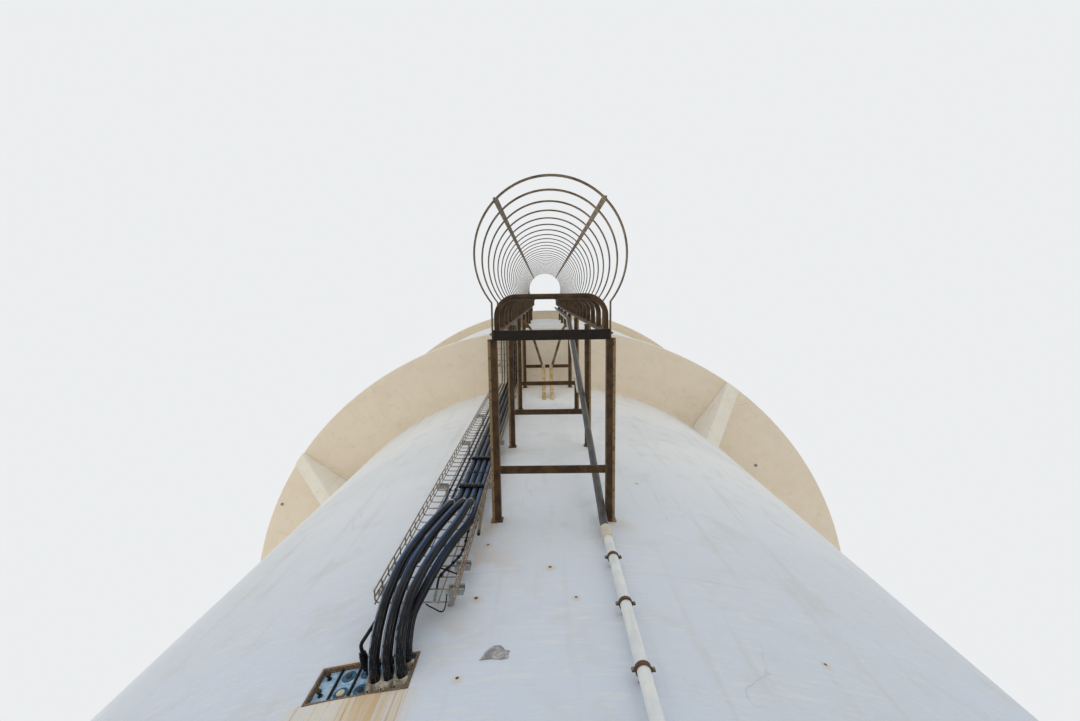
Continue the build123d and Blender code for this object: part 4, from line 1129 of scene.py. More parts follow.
@dataclass
class RoundWall:
    """Rendered round wall, slightly uneven, with openings cut through it."""

    name: str
    outer: float
    inner: float
    foot: float
    head: float
    stands_for: tuple[str, ...]
    finish: Finish
    openings: tuple[WallOpening, ...] = ()
    step: float = 2.0
    lift: float = 0.24
    uneven: float = 0.0022
    arris: float = 0.006

    def columns(self) -> list[Pair]:
        """Azimuths of the wall's upright lines, outside and inside.

        Returns:
            Pairs of azimuths in degrees, in order.
        """
        cuts = []
        for gap in self.openings:
            for side in (-1, 1):
                cuts.append(tuple(
                    gap.azimuth + side * degrees(asin(gap.half_width / radius))
                    for radius in (self.outer, self.inner)))
        lines = list(cuts)
        for k in range(int(360 / self.step)):
            azimuth = -90 + k * self.step
            if all(not min(cut) - 0.7 < azimuth < max(cut) + 0.7 for cut in cuts):
                lines.append((azimuth, azimuth))
        return sorted(lines)

    def levels(self) -> list[float]:
        """Heights of the wall's level lines.

        Returns:
            The heights in order.
        """
        cuts = {z for gap in self.openings for z in (gap.foot, gap.head)} | {self.foot, self.head}
        count = round((self.head - self.foot) / self.lift)
        evenly = [self.foot + (self.head - self.foot) * k / count for k in range(count + 1)]
        return sorted(cuts | {z for z in evenly if all(abs(z - cut) > 0.05 for cut in cuts)})

    def build(self) -> None:
        """Make the wall from an outer and an inner skin."""
        columns, levels = self.columns(), self.levels()
        wide, high = len(columns), len(levels)
        form = Form()
        for side, radius in enumerate((self.outer, self.inner)):
            for z in levels:
                for pair in columns:
                    point = around(radius, pair[side], z)
                    rough = noise.noise(point * 1.3) + 0.5 * noise.noise(point * 4.1)
                    form.points.append(around(radius + self.uneven * rough, pair[side], z))
        middle = [
            (columns[k][0] + (columns[(k + 1) % wide][0] + (360 if k == wide - 1 else 0))) / 2
            for k in range(wide)]

        def solid(k: int, row: int) -> bool:
            """Whether the wall is there, between two lines and two levels.

            Args:
                k: Number of the first line.
                row: Number of the lower level.

            Returns:
                True where there is wall.
            """
            return 0 <= row < high - 1 and not any(
                abs(middle[k % wide] - gap.azimuth) < degrees(asin(gap.half_width / self.outer))
                and gap.foot < (levels[row] + levels[row + 1]) / 2 < gap.head for gap in self.openings)

        def at(side: int, k: int, row: int) -> int:
            """Number of a point on the outer or the inner skin."""
            return side * wide * high + row * wide + k % wide

        for row in range(-1, high - 1):
            for k in range(wide):
                if solid(k, row):
                    for side in (0, 1):
                        corners = ((k, row), (k + 1, row), (k + 1, row + 1), (k, row + 1))
                        form.face([at(side, *corner) for corner in corners])
                    for line, beside in ((k + 1, k + 1), (k, k - 1)):
                        if not solid(beside, row):
                            corners = ((0, row), (1, row), (1, row + 1), (0, row + 1))
                            form.face([at(side, line, level) for side, level in corners])
                if solid(k, row) != solid(k, row + 1):
                    corners = ((0, k), (0, k + 1), (1, k + 1), (1, k))
                    form.face([at(side, line, row + 1) for side, line in corners])
        ease(form.settle(self.name, [self.finish], self.stands_for), self.arris)


@dataclass
class HatchedSlab:
    """Round slab with eased rims and a square hatch through it."""

    name: str
    radius: float
    foot: float
    head: float
    stands_for: tuple[str, ...]
    finish: Finish
    hatch: float = 0.9
    arris: float = 0.014
    columns: int = 200
    uneven: float = 0.0018

    def build(self) -> None:
        """Make the slab as one closed skin round its hatch."""
        half = self.hatch / 2
        middle = Vector((0, half, 0))
        rays = [around(1, 360 * k / self.columns) for k in range(self.columns)]
        inner = [middle + ray * (half / max(abs(ray.x), abs(ray.y))) for ray in rays]
        a, r, foot, head = self.arris, self.radius, self.foot, self.head
        rims = (
            (1.6, foot), (2.8, foot), (r - a, foot), (r - 0.3 * a, foot + 0.3 * a), (r, foot + a),
            (r, (foot + head) / 2), (r, head - a), (r - 0.3 * a, head - 0.3 * a), (r - a, head),
            (2.8, head), (1.6, head))
        rings = [[p + Vector((0, 0, self.foot)) for p in inner]]
        for radius, z in rims:
            ring = []
            for ray in rays:
                near = middle.dot(ray)
                rim = middle + ray * (sqrt(near**2 - half**2 + radius**2) - near)
                rough = self.uneven * (1 + noise.noise(rim * 1.1 + Vector((0, 0, z))))
                ring.append(rim * (1 - rough / radius) + Vector((0, 0, z)))
            rings.append(ring)
        rings.append([p + Vector((0, 0, self.head)) for p in inner])
        form = Form()
        form.skin(rings, closed=True)
        form.settle(self.name, [self.finish], self.stands_for, sharp=50)


@dataclass
class Tower:
    """Masonry of the tower: walls, slabs, ribs, plinth and lantern base."""

    tower_r: float = 3.261
    tower_in: float = 2.861
    drum_r: float = 3.93
    drum_in: float = 3.63
    slab_r: float = 3.983
    gallery_r: float = 4.097
    plinth_top: float = 0.15
    soffit: float = 7.6
    slab_top: float = 7.8
    gallery_soffit: float = 11.5
    gallery_top: float = 11.7
    rib_azimuths: tuple[float, ...] = (36, 126, 216, 306)
    rib_width: float = 0.178
    cove: float = 0.014

    def build(self) -> None:
        """Make every piece of masonry."""
        transit = WallOpening(-10.74, 0.161, 2.865, 3.011)
        doorway = WallOpening(180, 0.5, self.plinth_top, 2.25)
        RoundWall(
            "tower_wall", self.tower_r, self.tower_in, self.plinth_top, self.soffit,
            ("tower_wall_front", "tower_wall_right", "tower_wall_left", "tower_wall_back_right",
             "tower_wall_back_left", "tower_wall_over_door"),
            WHITE_WALL, (transit, doorway)).build()
        RoundWall(
            "drum_wall", self.drum_r, self.drum_in, self.slab_top, self.gallery_soffit,
            ("drum_wall_front", "drum_wall_right", "drum_wall_back", "drum_wall_left"), WHITE_RENDER,
        ).build()
        HatchedSlab(
            "drum_slab_render", self.slab_r, self.soffit, self.slab_top, ("drum_slab",), WHITE_RENDER,
        ).build()
        HatchedSlab(
            "gallery_slab_render", self.gallery_r, self.gallery_soffit, self.gallery_top, ("gallery_slab",),
            WHITE_RENDER).build()
        self.ribs()
        self.plinth()
        self.coves()
        self.spall()
        self.weep_holes()
        dress(["lantern_base"], WHITE_RENDER)

    def ribs(self) -> None:
        """Make the ribs, cut back a little where they meet the wall."""
        form = Form()
        outline = [
            (self.tower_r - 0.012, self.soffit), (self.slab_r - 0.004, self.soffit),
            (self.slab_r - 0.004, self.soffit - 0.052), (self.tower_r - 0.012, self.soffit - 0.562)]
        for azimuth in self.rib_azimuths:
            out = around(1, azimuth)
            side = around(1, azimuth + 90)
            offsets = [side * (self.rib_width * (k / 8 - 0.5)) for k in range(9)]
            form.skin([[out * r + offset + Vector((0, 0, z)) for r, z in outline] for offset in offsets])
        ease(form.settle("slab_ribs_render", [BOUNCE_LIT_RENDER], ("slab_ribs",)), 0.009, 3)

    def plinth(self) -> None:
        """Make the round base that the wall stands on."""
        form = Form()
        r, top = self.tower_r - 0.001, self.plinth_top
        form.lathe([
            (r - 0.02, 0), (r, 0.012), (r, top - 0.014), (r - 0.004, top - 0.004), (r - 0.014, top),
            (r - 0.6, top), (1.2, top)], segments=180)
        form.settle("plinth", [WHITE_RENDER], ("ground_floor",), sharp=50)

    def coves(self) -> None:
        """Make the eased inner corners where walls meet slabs."""
        form = Form()
        c = self.cove
        for radius, z, lean in (
            (self.tower_r, self.soffit, -1), (self.drum_r, self.slab_top, 1),
            (self.drum_r, self.gallery_soffit, -1),
        ):
            profile = [
                (radius - 0.01, z - lean * 0.004), (radius + c, z - lean * 0.004),
                (radius + c, z + lean * 0.001), (radius + 0.35 * c, z + lean * 0.35 * c),
                (radius + 0.001, z + lean * c), (radius - 0.01, z + lean * c)]
            form.lathe(profile, segments=180, closed=True)
        form.settle("render_coves", [WHITE_RENDER], sharp=60)

    def spall(self) -> None:
        """Make the patch where the render has come off and shows the mortar."""
        form = Form()
        rng = random.Random(7)
        x, z = -0.2, 2.968
        outline = [
            (-0.047, -0.026), (-0.03, 0.004), (-0.02, 0.02), (-0.004, 0.03), (0.012, 0.031), (0.022, 0.02),
            (0.03, 0.008), (0.043, 0.004), (0.04, -0.012), (0.041, -0.026), (0.018, -0.029),
            (-0.01, -0.026)]
        place = stand((x, wall_y(self.tower_r, x) - 0.0014, z), (x, wall_y(self.tower_r, x), 0))
        dense = []
        for k, corner in enumerate(outline):
            other = outline[(k + 1) % len(outline)]
            for part in range(3):
                t = part / 3
                jog = Vector((rng.uniform(-1, 1), rng.uniform(-1, 1))) * 0.0018
                dense.append(Vector(corner).lerp(Vector(other), t) + jog)
        steps = ((1, -0.008), (1, 0.0022), (0.93, 0.0024), (0.8, 0.0012), (0.5, 0.0016), (0.2, 0.001))
        form.skin([
            [place @ Vector((*(p * share), height + rng.uniform(-1, 1) * 0.0004)) for p in dense]
            for share, height in steps])
        form.settle("wall_spall", [BARE_MORTAR], sharp=60)

    def weep_holes(self) -> None:
        """Make the small drain sleeves in the drum slab's underside."""
        form = Form()
        for x, y in ((-3.51, -1.71), (2.68, -2.17), (3.3, 1.9), (-2.6, 2.75)):
            place = moved(x, y, self.soffit + 0.004) @ Matrix.Rotation(pi, 4, "X")
            form.lathe(about(0, 0, (16, 0), (16, 13), (14.5, 14), (12, 13), (12, 2)), place, 20)
        form.settle("soffit_sleeves", [GREY_PIPE])


@dataclass
class Ladder:
    """Ladder with U-shaped rungs, its stiles and the brackets that hold it off the walls."""

    stile_x: float = 0.282
    plane: float = 4.2
    leg: float = 0.04
    thick: float = 0.005
    foot: float = 3.8625
    top: float = 13.01
    rung_x: float = 0.262
    rung_r: float = 0.0135
    first_rung: float = 3.92
    pitch: float = 0.3
    rungs: int = 31
    arm_leg: float = 0.044
    arm_thick: float = 0.006
    first_bracket: float = 3.8845
    bracket_pitch: float = 1.2
    gallery_bracket: float = 11.6
    bar_front: float = -3.539
    bar_back: float = -3.499
    bottom_bar: Pair = (0.048, 0.01)
    plate: tuple[float, float, float] = (0.06, 0.054, 0.009)

    def build(self) -> None:
        """Make the ladder and dress its rungs."""
        self.stiles()
        self.brackets()
        dress(["ladder_rungs"], RUNG_PAINT)

    def stiles(self) -> None:
        """Make the stiles, the bar below them and the welds at the rungs."""
        form = Form()
        section = angle_section(self.leg, self.leg, self.thick)
        x, y = self.stile_x, -self.plane
        form.sweep([(x, y, self.top), (x, y, self.foot)], section, side=(-1, 0, 0))
        for index in range(self.rungs):
            z = self.first_rung + index * self.pitch
            bead = about(self.rung_r, 0, (-2, -1), (4.5, -1), (3, 2.5), (0.5, 4.5), (-2, 4))
            form.lathe(bead, ahead(self.rung_x, y, z), 14, closed=True)
        form.mirror()
        depth, thick = self.bottom_bar
        place = moved(0, y + self.leg / 2, self.foot - thick)
        # The bottom bar takes the darker copy of the paint, which is painted shade.
        form.kind = 1
        form.block((2 * (self.rung_x + self.rung_r), depth, thick), place, 0.0012)
        form.settle(
            "ladder_stiles", [LADDER_PAINT, BAR_SHADED_PAINT],
            ("ladder_stile_left", "ladder_stile_right", "ladder_bottom_bar"))

    def brackets(self) -> None:
        """Make the frames on the tower wall and the arms on the drum and the gallery."""
        tower = Tower()
        levels = [self.first_bracket + index * self.bracket_pitch for index in range(7)]
        walls = Form()
        for z in levels[:4]:
            self.arm(walls, z, tower.tower_r)
            self.foot_plate(walls, z, tower.tower_r)
        walls.mirror()
        for z in levels[:4]:
            self.cross_bar(walls, z)
        walls.settle("wall_bracket_frames", [LADDER_PAINT, BOLT_ZINC], ("wall_brackets",))
        drum = Form()
        for z in levels[4:]:
            self.arm(drum, z, tower.drum_r)
            self.foot_plate(drum, z, tower.drum_r)
        self.arm(drum, self.gallery_bracket, tower.gallery_r)
        drum.mirror()
        drum.settle("drum_bracket_arms", [LADDER_PAINT, BOLT_ZINC], ("drum_brackets",))

    def arm(self, form: Form, z: float, radius: float) -> None:
        """Draw the right-hand arm of a bracket, from a round wall to the stile.

        Args:
            form: Where it is drawn.
            z: Height of the arm's middle.
            radius: Radius of the wall.
        """
        inner = self.stile_x - self.arm_leg / 2
        low = z - self.arm_leg / 2
        wall = wall_y(radius, self.stile_x) + 0.006
        end = -(self.plane - self.leg)
        section = angle_section(self.arm_leg, self.arm_leg, self.arm_thick)
        form.sweep([(inner, wall, low), (inner, end, low)], section, side=(1, 0, 0))
        outer = inner + self.arm_leg
        for y, r in ((end, 0.0035), (wall_y(radius, self.stile_x) - 0.008, 0.004)):
            under, over = low - 0.001, low + self.arm_leg - 0.002
            form.tube(
                smooth_path([(outer - 0.002, y, under), (inner, y, under), (inner - 0.001, y, over)], 3), r,
                6)

    def foot_plate(self, form: Form, z: float, radius: float) -> None:
        """Draw the right-hand foot plate of a bracket with its bolt.

        Args:
            form: Where it is drawn.
            z: Height of the plate's middle.
            radius: Radius of the wall.
        """
        azimuth = degrees(asin(self.stile_x / radius))
        out = around(1, azimuth)
        form.block(self.plate, stand(around(radius - 0.003, azimuth, z), out), 0.002)
        form.kind = 1
        at = around(radius + 0.006, azimuth, z + 0.007) + around(0.007, azimuth + 90)
        form.bolt(stand(at, out), 0.008, 0.005)
        form.kind = 0

    def cross_bar(self, form: Form, z: float) -> None:
        """Draw the bar between a bracket's arms, with its welds.

        Args:
            form: Where it is drawn.
            z: Height of the bar's middle.
        """
        half = self.stile_x - self.arm_leg / 2 + 0.001
        low = z - self.arm_leg / 2
        width = self.bar_back - self.bar_front
        section = angle_section(width, self.arm_leg, self.arm_thick)
        form.sweep([(half, self.bar_back, low), (-half, self.bar_back, low)], section, side=FRONT)
        for x in (-half, half):
            corners = (
                (self.bar_front, low), (self.bar_back, low), (self.bar_back, low + self.arm_leg - 0.002))
            form.tube([(x, y, z) for y, z in corners], 0.0032, 6)


@dataclass
class SafetyCage:
    """Hoops and straps round the ladder, bolted together."""

    centre_y: float = -4.556
    radius: float = 0.362
    hoop_width: float = 0.03
    hoop_thick: float = 0.006
    stile_x: float = 0.282
    hoop_end: float = -4.168
    first: float = 3.92
    pitch: float = 0.3
    count: int = 31
    strap_azimuth: float = 45.0
    strap_r: float = 0.3562
    strap_width: float = 0.026
    strap_thick: float = 0.005
    strap_foot: float = 3.875
    strap_top: float = 12.965
    bolt: float = 0.008

    def build(self) -> None:
        """Make the hoops and the straps."""
        self.hoops()
        self.straps()

    def hoops(self) -> None:
        """Make every hoop as one bent flat bar, bolted to the stiles and the straps."""
        form = Form()
        rng = random.Random(11)
        middle = Vector((0, self.centre_y, 0))
        side_x = self.stile_x + self.hoop_thick / 2
        kink = 180 - degrees(asin(side_x / self.radius))
        section = rounded_bar(self.hoop_width, self.hoop_thick, 0.0014)
        for index in range(self.count):
            z = self.first + index * self.pitch
            lift = Vector((0, 0, z + rng.uniform(-0.0012, 0.0012)))
            path = [
                Vector((side_x, self.hoop_end, 0)),
                Vector((side_x, (self.hoop_end + middle.y) / 2 + 0.05, 0))]
            path += [middle + around(self.radius, kink - 2 * kink * k / 58) for k in range(59)]
            path += [Vector((-p.x, p.y, p.z)) for p in reversed(path[:2])]
            form.kind = 0
            form.sweep([p + lift for p in path], section, side=UPWARDS)
            form.kind = 1
            for turn in (-1, 1):
                place = stand(
                    (turn * (side_x + self.hoop_thick / 2), self.hoop_end - 0.014, z), (turn, 0, 0))
                form.bolt(place, self.bolt, 0.004)
                azimuth = turn * self.strap_azimuth
                out = around(1, azimuth)
                place = stand(middle + around(self.radius + self.hoop_thick / 2, azimuth, z), out)
                form.bolt(place, self.bolt, 0.003)
        form.settle(
            "cage_hoops", [CAGE_STEEL, BOLT_ZINC],
            ("cage_hoops_front", "cage_hoops_left", "cage_hoops_right"))

    def straps(self) -> None:
        """Make the two upright straps inside the hoops."""
        form = Form()
        middle = Vector((0, self.centre_y, 0))
        section = rounded_bar(self.strap_width, self.strap_thick, 0.0012)
        for turn in (-1, 1):
            azimuth = turn * self.strap_azimuth
            line = middle + around(self.strap_r, azimuth)
            path = [line + Vector((0, 0, z)) for z in (self.strap_foot, self.strap_top)]
            form.sweep(path, section, side=around(1, azimuth + 90))
        form.settle("cage_upright_straps", [CAGE_STEEL], ("cage_straps",))


@dataclass
class Struts:
    """Flat struts and cream knee braces of the uppermost wall bracket."""

    level: float = 7.4575
    width: float = 0.03
    thick: float = 0.01
    route: tuple[Pair, ...] = ((0.055, -3.509), (0.2, -3.983), (0.282, -4.09))
    knee_x: float = 0.045
    knee_width: float = 0.04
    knee_foot: float = 6.69
    knee_head: float = 7.4525
    knee_head_y: float = -3.519

    def build(self) -> None:
        """Make the struts with their bolts and the knee braces."""
        form = Form()
        path = [(x, y, self.level) for x, y in self.route]
        form.sweep(path, rounded_bar(self.width, self.thick, 0.0015), side=(1, 0.3, 0))
        form.kind = 1
        for x, y in (self.route[0], self.route[1]):
            form.bolt(
                stand((x, y - 0.004, self.level - self.thick / 2), (0, 0, -1), (0, 1, 0)), 0.009, 0.004)
        form.mirror()
        form.settle("strut_bars", [CAGE_STEEL, BOLT_ZINC], ("ladder_struts",))
        self.knees()

    def knees(self) -> None:
        """Make the square knee braces, cut level at their head."""
        form = Form()
        foot = Vector((self.knee_x, wall_y(Tower().tower_r, self.knee_x) + 0.02, self.knee_foot))
        head = Vector((self.knee_x, self.knee_head_y, self.knee_head))
        along = (head - foot).normalized()
        level = along.cross(Vector((1, 0, 0))).normalized()
        rings = []
        for end, plane in ((foot, Vector((0, 1, 0))), (head, Vector((0, 0, 1)))):
            ring = []
            for a, b in rounded_bar(self.knee_width, self.knee_width, 0.004):
                corner = end + Vector((a, 0, 0)) + level * b
                ring.append(corner + along * ((end - corner).dot(plane) / along.dot(plane)))
            rings.append(ring)
        steps = [[p.lerp(q, k / 6) for p, q in zip(*rings)] for k in range(7)]
        form.skin(steps)
        form.mirror()
        form.settle("knee_brace_tubes", [CREAM_PAINT], ("knee_braces",))


@dataclass
class CableTrays:
    """Wire basket trays on cross rails up the tower wall, below the slab and up the drum."""

    left: float = -0.635
    right: float = -0.357
    depth: float = 0.055
    wire: float = 0.0027
    rim_wire: float = 0.0032
    cross_pitch: float = 0.075
    along_count: int = 6
    wall_y: float = -3.3091
    wall_foot: float = 3.13
    wall_top: float = 7.43
    drum_y: float = -3.9885
    drum_foot: float = 7.83
    drum_top: float = 11.44
    soffit_z: float = 7.473
    soffit_start: float = -3.4371
    soffit_end: float = -4.0435
    rail_height: float = 0.041
    rail_depth: float = 0.021
    rail_overhang: float = 0.017
    rail_length: float = 0.06
    rail_pitch: float = 0.82
    stem_inset: float = 0.034
    stem_r: float = 0.008

    def build(self) -> None:
        """Make the three trays and the rails that hold them."""
        for name, node, start, along, out, length in (
            ("wall_basket", "cable_tray_wall", (0, self.wall_y, self.wall_foot), UPWARDS, FRONT,
             self.wall_top - self.wall_foot),
            ("soffit_basket", "cable_tray_soffit", (0, self.soffit_start, self.soffit_z), FRONT, UPWARDS,
             self.soffit_start - self.soffit_end),
            ("drum_basket", "cable_tray_drum", (0, self.drum_y, self.drum_foot), UPWARDS, FRONT,
             self.drum_top - self.drum_foot),
        ):
            self.basket(name, node, Vector(start), Vector(along), Vector(out), length)
        self.rails()

    def basket(
        self, name: str, node: str, start: Vector, along: Vector, out: Vector, length: float,
    ) -> None:
        """Make one wire basket.

        Args:
            name: Name of the piece.
            node: CAD node that it replaces.
            start: Point on the tray's back at its foot; its X is left out.
            along: Direction of the tray.
            out: Direction in which its sides stand.
            length: Length of the tray.
        """
        form = Form()
        rng = random.Random(name)
        w = self.wire
        x0, x1 = self.left + w, self.right - w
        last = self.along_count - 1
        lines = [(x0 + (self.right - self.left - 2 * w) * k / last, w, w) for k in range(self.along_count)]
        for x in (x0, x1):
            lines += [(x, self.depth * 0.5, w), (x, self.depth - self.rim_wire, self.rim_wire)]
        count = int(length / self.cross_pitch)
        for x, height, r in lines:
            path = []
            for k in range(count + 2):
                wobble = Vector((rng.uniform(-1, 1) * 0.0006, 0, 0))
                at = min(k * self.cross_pitch + w, length - w)
                path.append(start + along * at + out * height + Vector((x, 0, 0)) + wobble)
            form.tube(path, r, 6)
        for k in range(count + 1):
            base = start + along * min(w * 2 + k * self.cross_pitch, length - 2 * w) + out * (w * 2.4)
            tall, bend, turn = self.depth - 3.6 * w, 0.012, 0.012 * 0.3
            hoop = (
                (x0, tall), (x0, bend), (x0 + turn, turn), (x0 + bend, 0), (x1 - bend, 0),
                (x1 - turn, turn), (x1, bend), (x1, tall))
            form.tube([base + Vector((x, 0, 0)) + out * height for x, height in hoop], w, 6)
        form.settle(name, [TRAY_WIRE], (node,), sharp=80)

    def rails(self) -> None:
        """Make the slotted cross rails with their stems, wall plates and clips, and the hangers."""
        form = Form()
        tower = Tower()
        places = [(self.wall_y, tower.tower_r, self.wall_foot + rise) for rise in (0.105, 0.262)]
        while places[-1][2] + self.rail_pitch < self.wall_top:
            places.append((self.wall_y, tower.tower_r, places[-1][2] + self.rail_pitch))
        first = self.drum_foot + 0.41
        places += [(self.drum_y, tower.drum_r, first + self.rail_pitch * k) for k in range(4)]
        for back, radius, z in places:
            self.rail(form, back, radius, z)
        for y in (self.wall_y - 0.22, -tower.slab_r + 0.11):
            x = self.left + self.stem_inset
            form.kind = 2
            form.tube([(x, y, self.soffit_z + 0.004), (x, y, tower.soffit)], 0.005, 10)
            form.kind = 1
            form.bolt(stand((x, y, self.soffit_z + 0.007), UPWARDS, (0, 1, 0)), 0.01)
            form.bolt(stand((x, y, tower.soffit - 0.0005), (0, 0, -1), (0, 1, 0)), 0.011)
        form.settle(
            "tray_cross_rails", [RAIL_ZINC, BOLT_ZINC, STEEL_BRIGHT], ("tray_rails",))

    def rail(self, form: Form, back: float, radius: float, z: float) -> None:
        """Draw the two short rails of one level, each with its stem and wall plate.

        Args:
            form: Where it is drawn.
            back: Y of the tray's back.
            radius: Radius of the wall behind it.
            z: Height of the rails' middle.
        """
        h, d, t, lip = self.rail_height / 2, self.rail_depth, 0.0025, 0.0095
        profile = [
            (-h, d), (-h, 0.0006), (-h + 0.0006, 0), (-lip, 0), (-lip, t), (-h + t, t), (-h + t, d - t),
            (h - t, d - t), (h - t, t), (lip, t), (lip, 0), (h - 0.0006, 0), (h, 0.0006), (h, d)]
        for edge, inwards in ((self.left, 1), (self.right, -1)):
            ends = sorted((
                edge - inwards * self.rail_overhang,
                edge + inwards * (self.rail_length - self.rail_overhang)))
            x = edge + inwards * self.stem_inset
            wall = wall_y(radius, x)
            out = Vector((x, wall, 0)).normalized()
            form.kind = 0
            form.skin([[Vector((end, back + b, z + a)) for a, b in profile] for end in ends])
            form.tube([(x, wall + 0.004, z), (x, back + d - t, z)], self.stem_r, 12)
            form.lathe(about(0, 0, (13, -2), (13, 2), (11.5, 3)), stand((x, wall, z), out), 16)
            form.kind = 1
            form.bolt(ahead(x, back + t, z), 0.006)


@dataclass
class CableTransit:
    """Steel frame in the wall with rubber modules, plugs and stay plates."""

    azimuth: float = -10.74
    height: float = 2.938
    face: float = -3.257
    set_back: float = 0.014
    clear_width: float = 0.306
    stay: float = 0.003
    widths: tuple[float, ...] = (0.0588, 0.0588, 0.0588, 0.0382, 0.0382, 0.0382)
    row_pitch: float = 0.065
    module_height: float = 0.0645
    module_depth: float = 0.06
    cable_r: float = 0.017
    cabled: tuple[tuple[int, int], ...] = ((3, 0), (4, 0), (5, 0), (5, 1))

    def build(self) -> None:
        """Make the modules with what fills them, the stays' edges and the putty."""
        dress(["transit_frame"], TRANSIT_STEEL)
        self.modules()
        self.putty()

    def place(self, column: int, row: int) -> Matrix:
        """Place on the face of a module.

        Args:
            column: Column from the left.
            row: Row from the bottom.

        Returns:
            The place, its Z out of the wall and its Y up.
        """
        x = sum(self.widths[:column]) + column * self.stay + (self.widths[column] - self.clear_width) / 2
        z = self.height + (row - 0.5) * self.row_pitch
        turn = Matrix.Rotation(radians(self.azimuth), 4, "Z")
        return turn @ ahead(x, self.face + self.set_back, z)

    def modules(self) -> None:
        """Make each module as two halves with layered cores or a plug, and the stays' dark edges."""
        form = Form()
        half_height = self.module_height / 2
        for column, width in enumerate(self.widths):
            for row in (0, 1):
                place = self.place(column, row)
                form.kind = 0
                for side in (-1, 1):
                    half = place @ moved(0, side * (half_height / 2 + 0.0002), -self.module_depth)
                    form.block((width - 0.001, half_height - 0.0006, self.module_depth), half, 0.0016)
                if (column, row) not in self.cabled:
                    self.core(form, column, row)
            if column:
                edge = place @ moved(-(width + self.stay) / 2, -self.row_pitch / 2, 0)
                form.kind = 2
                form.block((self.stay + 0.0006, 2 * self.row_pitch - 0.002, 0.009), edge, 0.0004)
        form.settle(
            "transit_module_blocks", [MODULE_RUBBER, CORE_RUBBER, SEAL_RUBBER, BLANK_BEIGE, CLAMP_RUST],
            ("transit_modules",))

    def core(self, form: Form, column: int, row: int) -> None:
        """Draw what fills one module's bore.

        Args:
            form: Where it is drawn.
            column: Column from the left.
            row: Row from the bottom.
        """
        at = self.place(column, row)
        if column == 0:
            form.kind = 2
            at = at @ moved(-0.004, 0.004, 0)
            form.lathe(about(0, 0, (7.5, -2), (7.5, 3), (6.5, 4.2)), at, 20)
            form.lathe(about(0, 0, (4, 2), (4, 12), (8.5, 13.5), (8.5, 18), (6, 19.5)), at, 16)
            form.kind = 4
            form.bolt(at @ moved(0, 0, 0.019), 0.0055, 0.004)
            return
        r = 0.0225 if column < 3 else 0.016
        form.kind = 1
        form.lathe(
            about(
                r, 0, (0, -4), (0, 0.9), (-0.7, 1.6), (-3, 1.6), (-3.5, 0.7), (-5.7, 0.7), (-6.2, 1.6),
                (-8, 1.6), (-8.5, 0.6)),
            at, 36)
        blank = (column, row) == (1, 0)
        form.kind = 3 if blank else 2
        r = 0.0125 if blank else r * 0.4
        form.lathe([(r, -0.003), (r, 0.0032), (r - 0.0012, 0.0042), (r * 0.4, 0.0046)], at, 28)

    def putty(self) -> None:
        """Make the putty packed round the thick cables, with its tips drawn up between them."""
        form = Form()
        rng = random.Random(5)
        for column, row in self.cabled:
            place = self.place(column, row)
            wide, high = self.widths[column] / 2 - 0.0005, self.module_height / 2 - 0.009
            r = self.cable_r - 0.0002
            rings = []
            for share, out in (
                (0, -0.004), (0, 0.002), (0.15, 0.007), (0.4, 0.013), (0.75, 0.019), (1, 0.022),
            ):
                ring = []
                for c, s in circle(1, 26):
                    rough = 1 + rng.uniform(-0.04, 0.02) * (1 - share)
                    x = (wide + (r - wide) * share) * c * rough
                    y = (high + (r - high) * share) * s * rough
                    ring.append(place @ Vector((x, y, out + rng.uniform(0, 0.0015))))
                rings.append(ring)
            form.skin(rings)
            lean = moved(-wide - 0.002, -0.01, 0) @ Matrix.Rotation(-0.5, 4, "X")
            form.lathe([
                (0.013, -0.005), (0.011, 0.008), (0.007, 0.022), (0.0035, 0.036), (0.0008, 0.042),
            ], place @ lean, 12)
        form.settle("transit_putty", [SEAL_PUTTY], sharp=60)


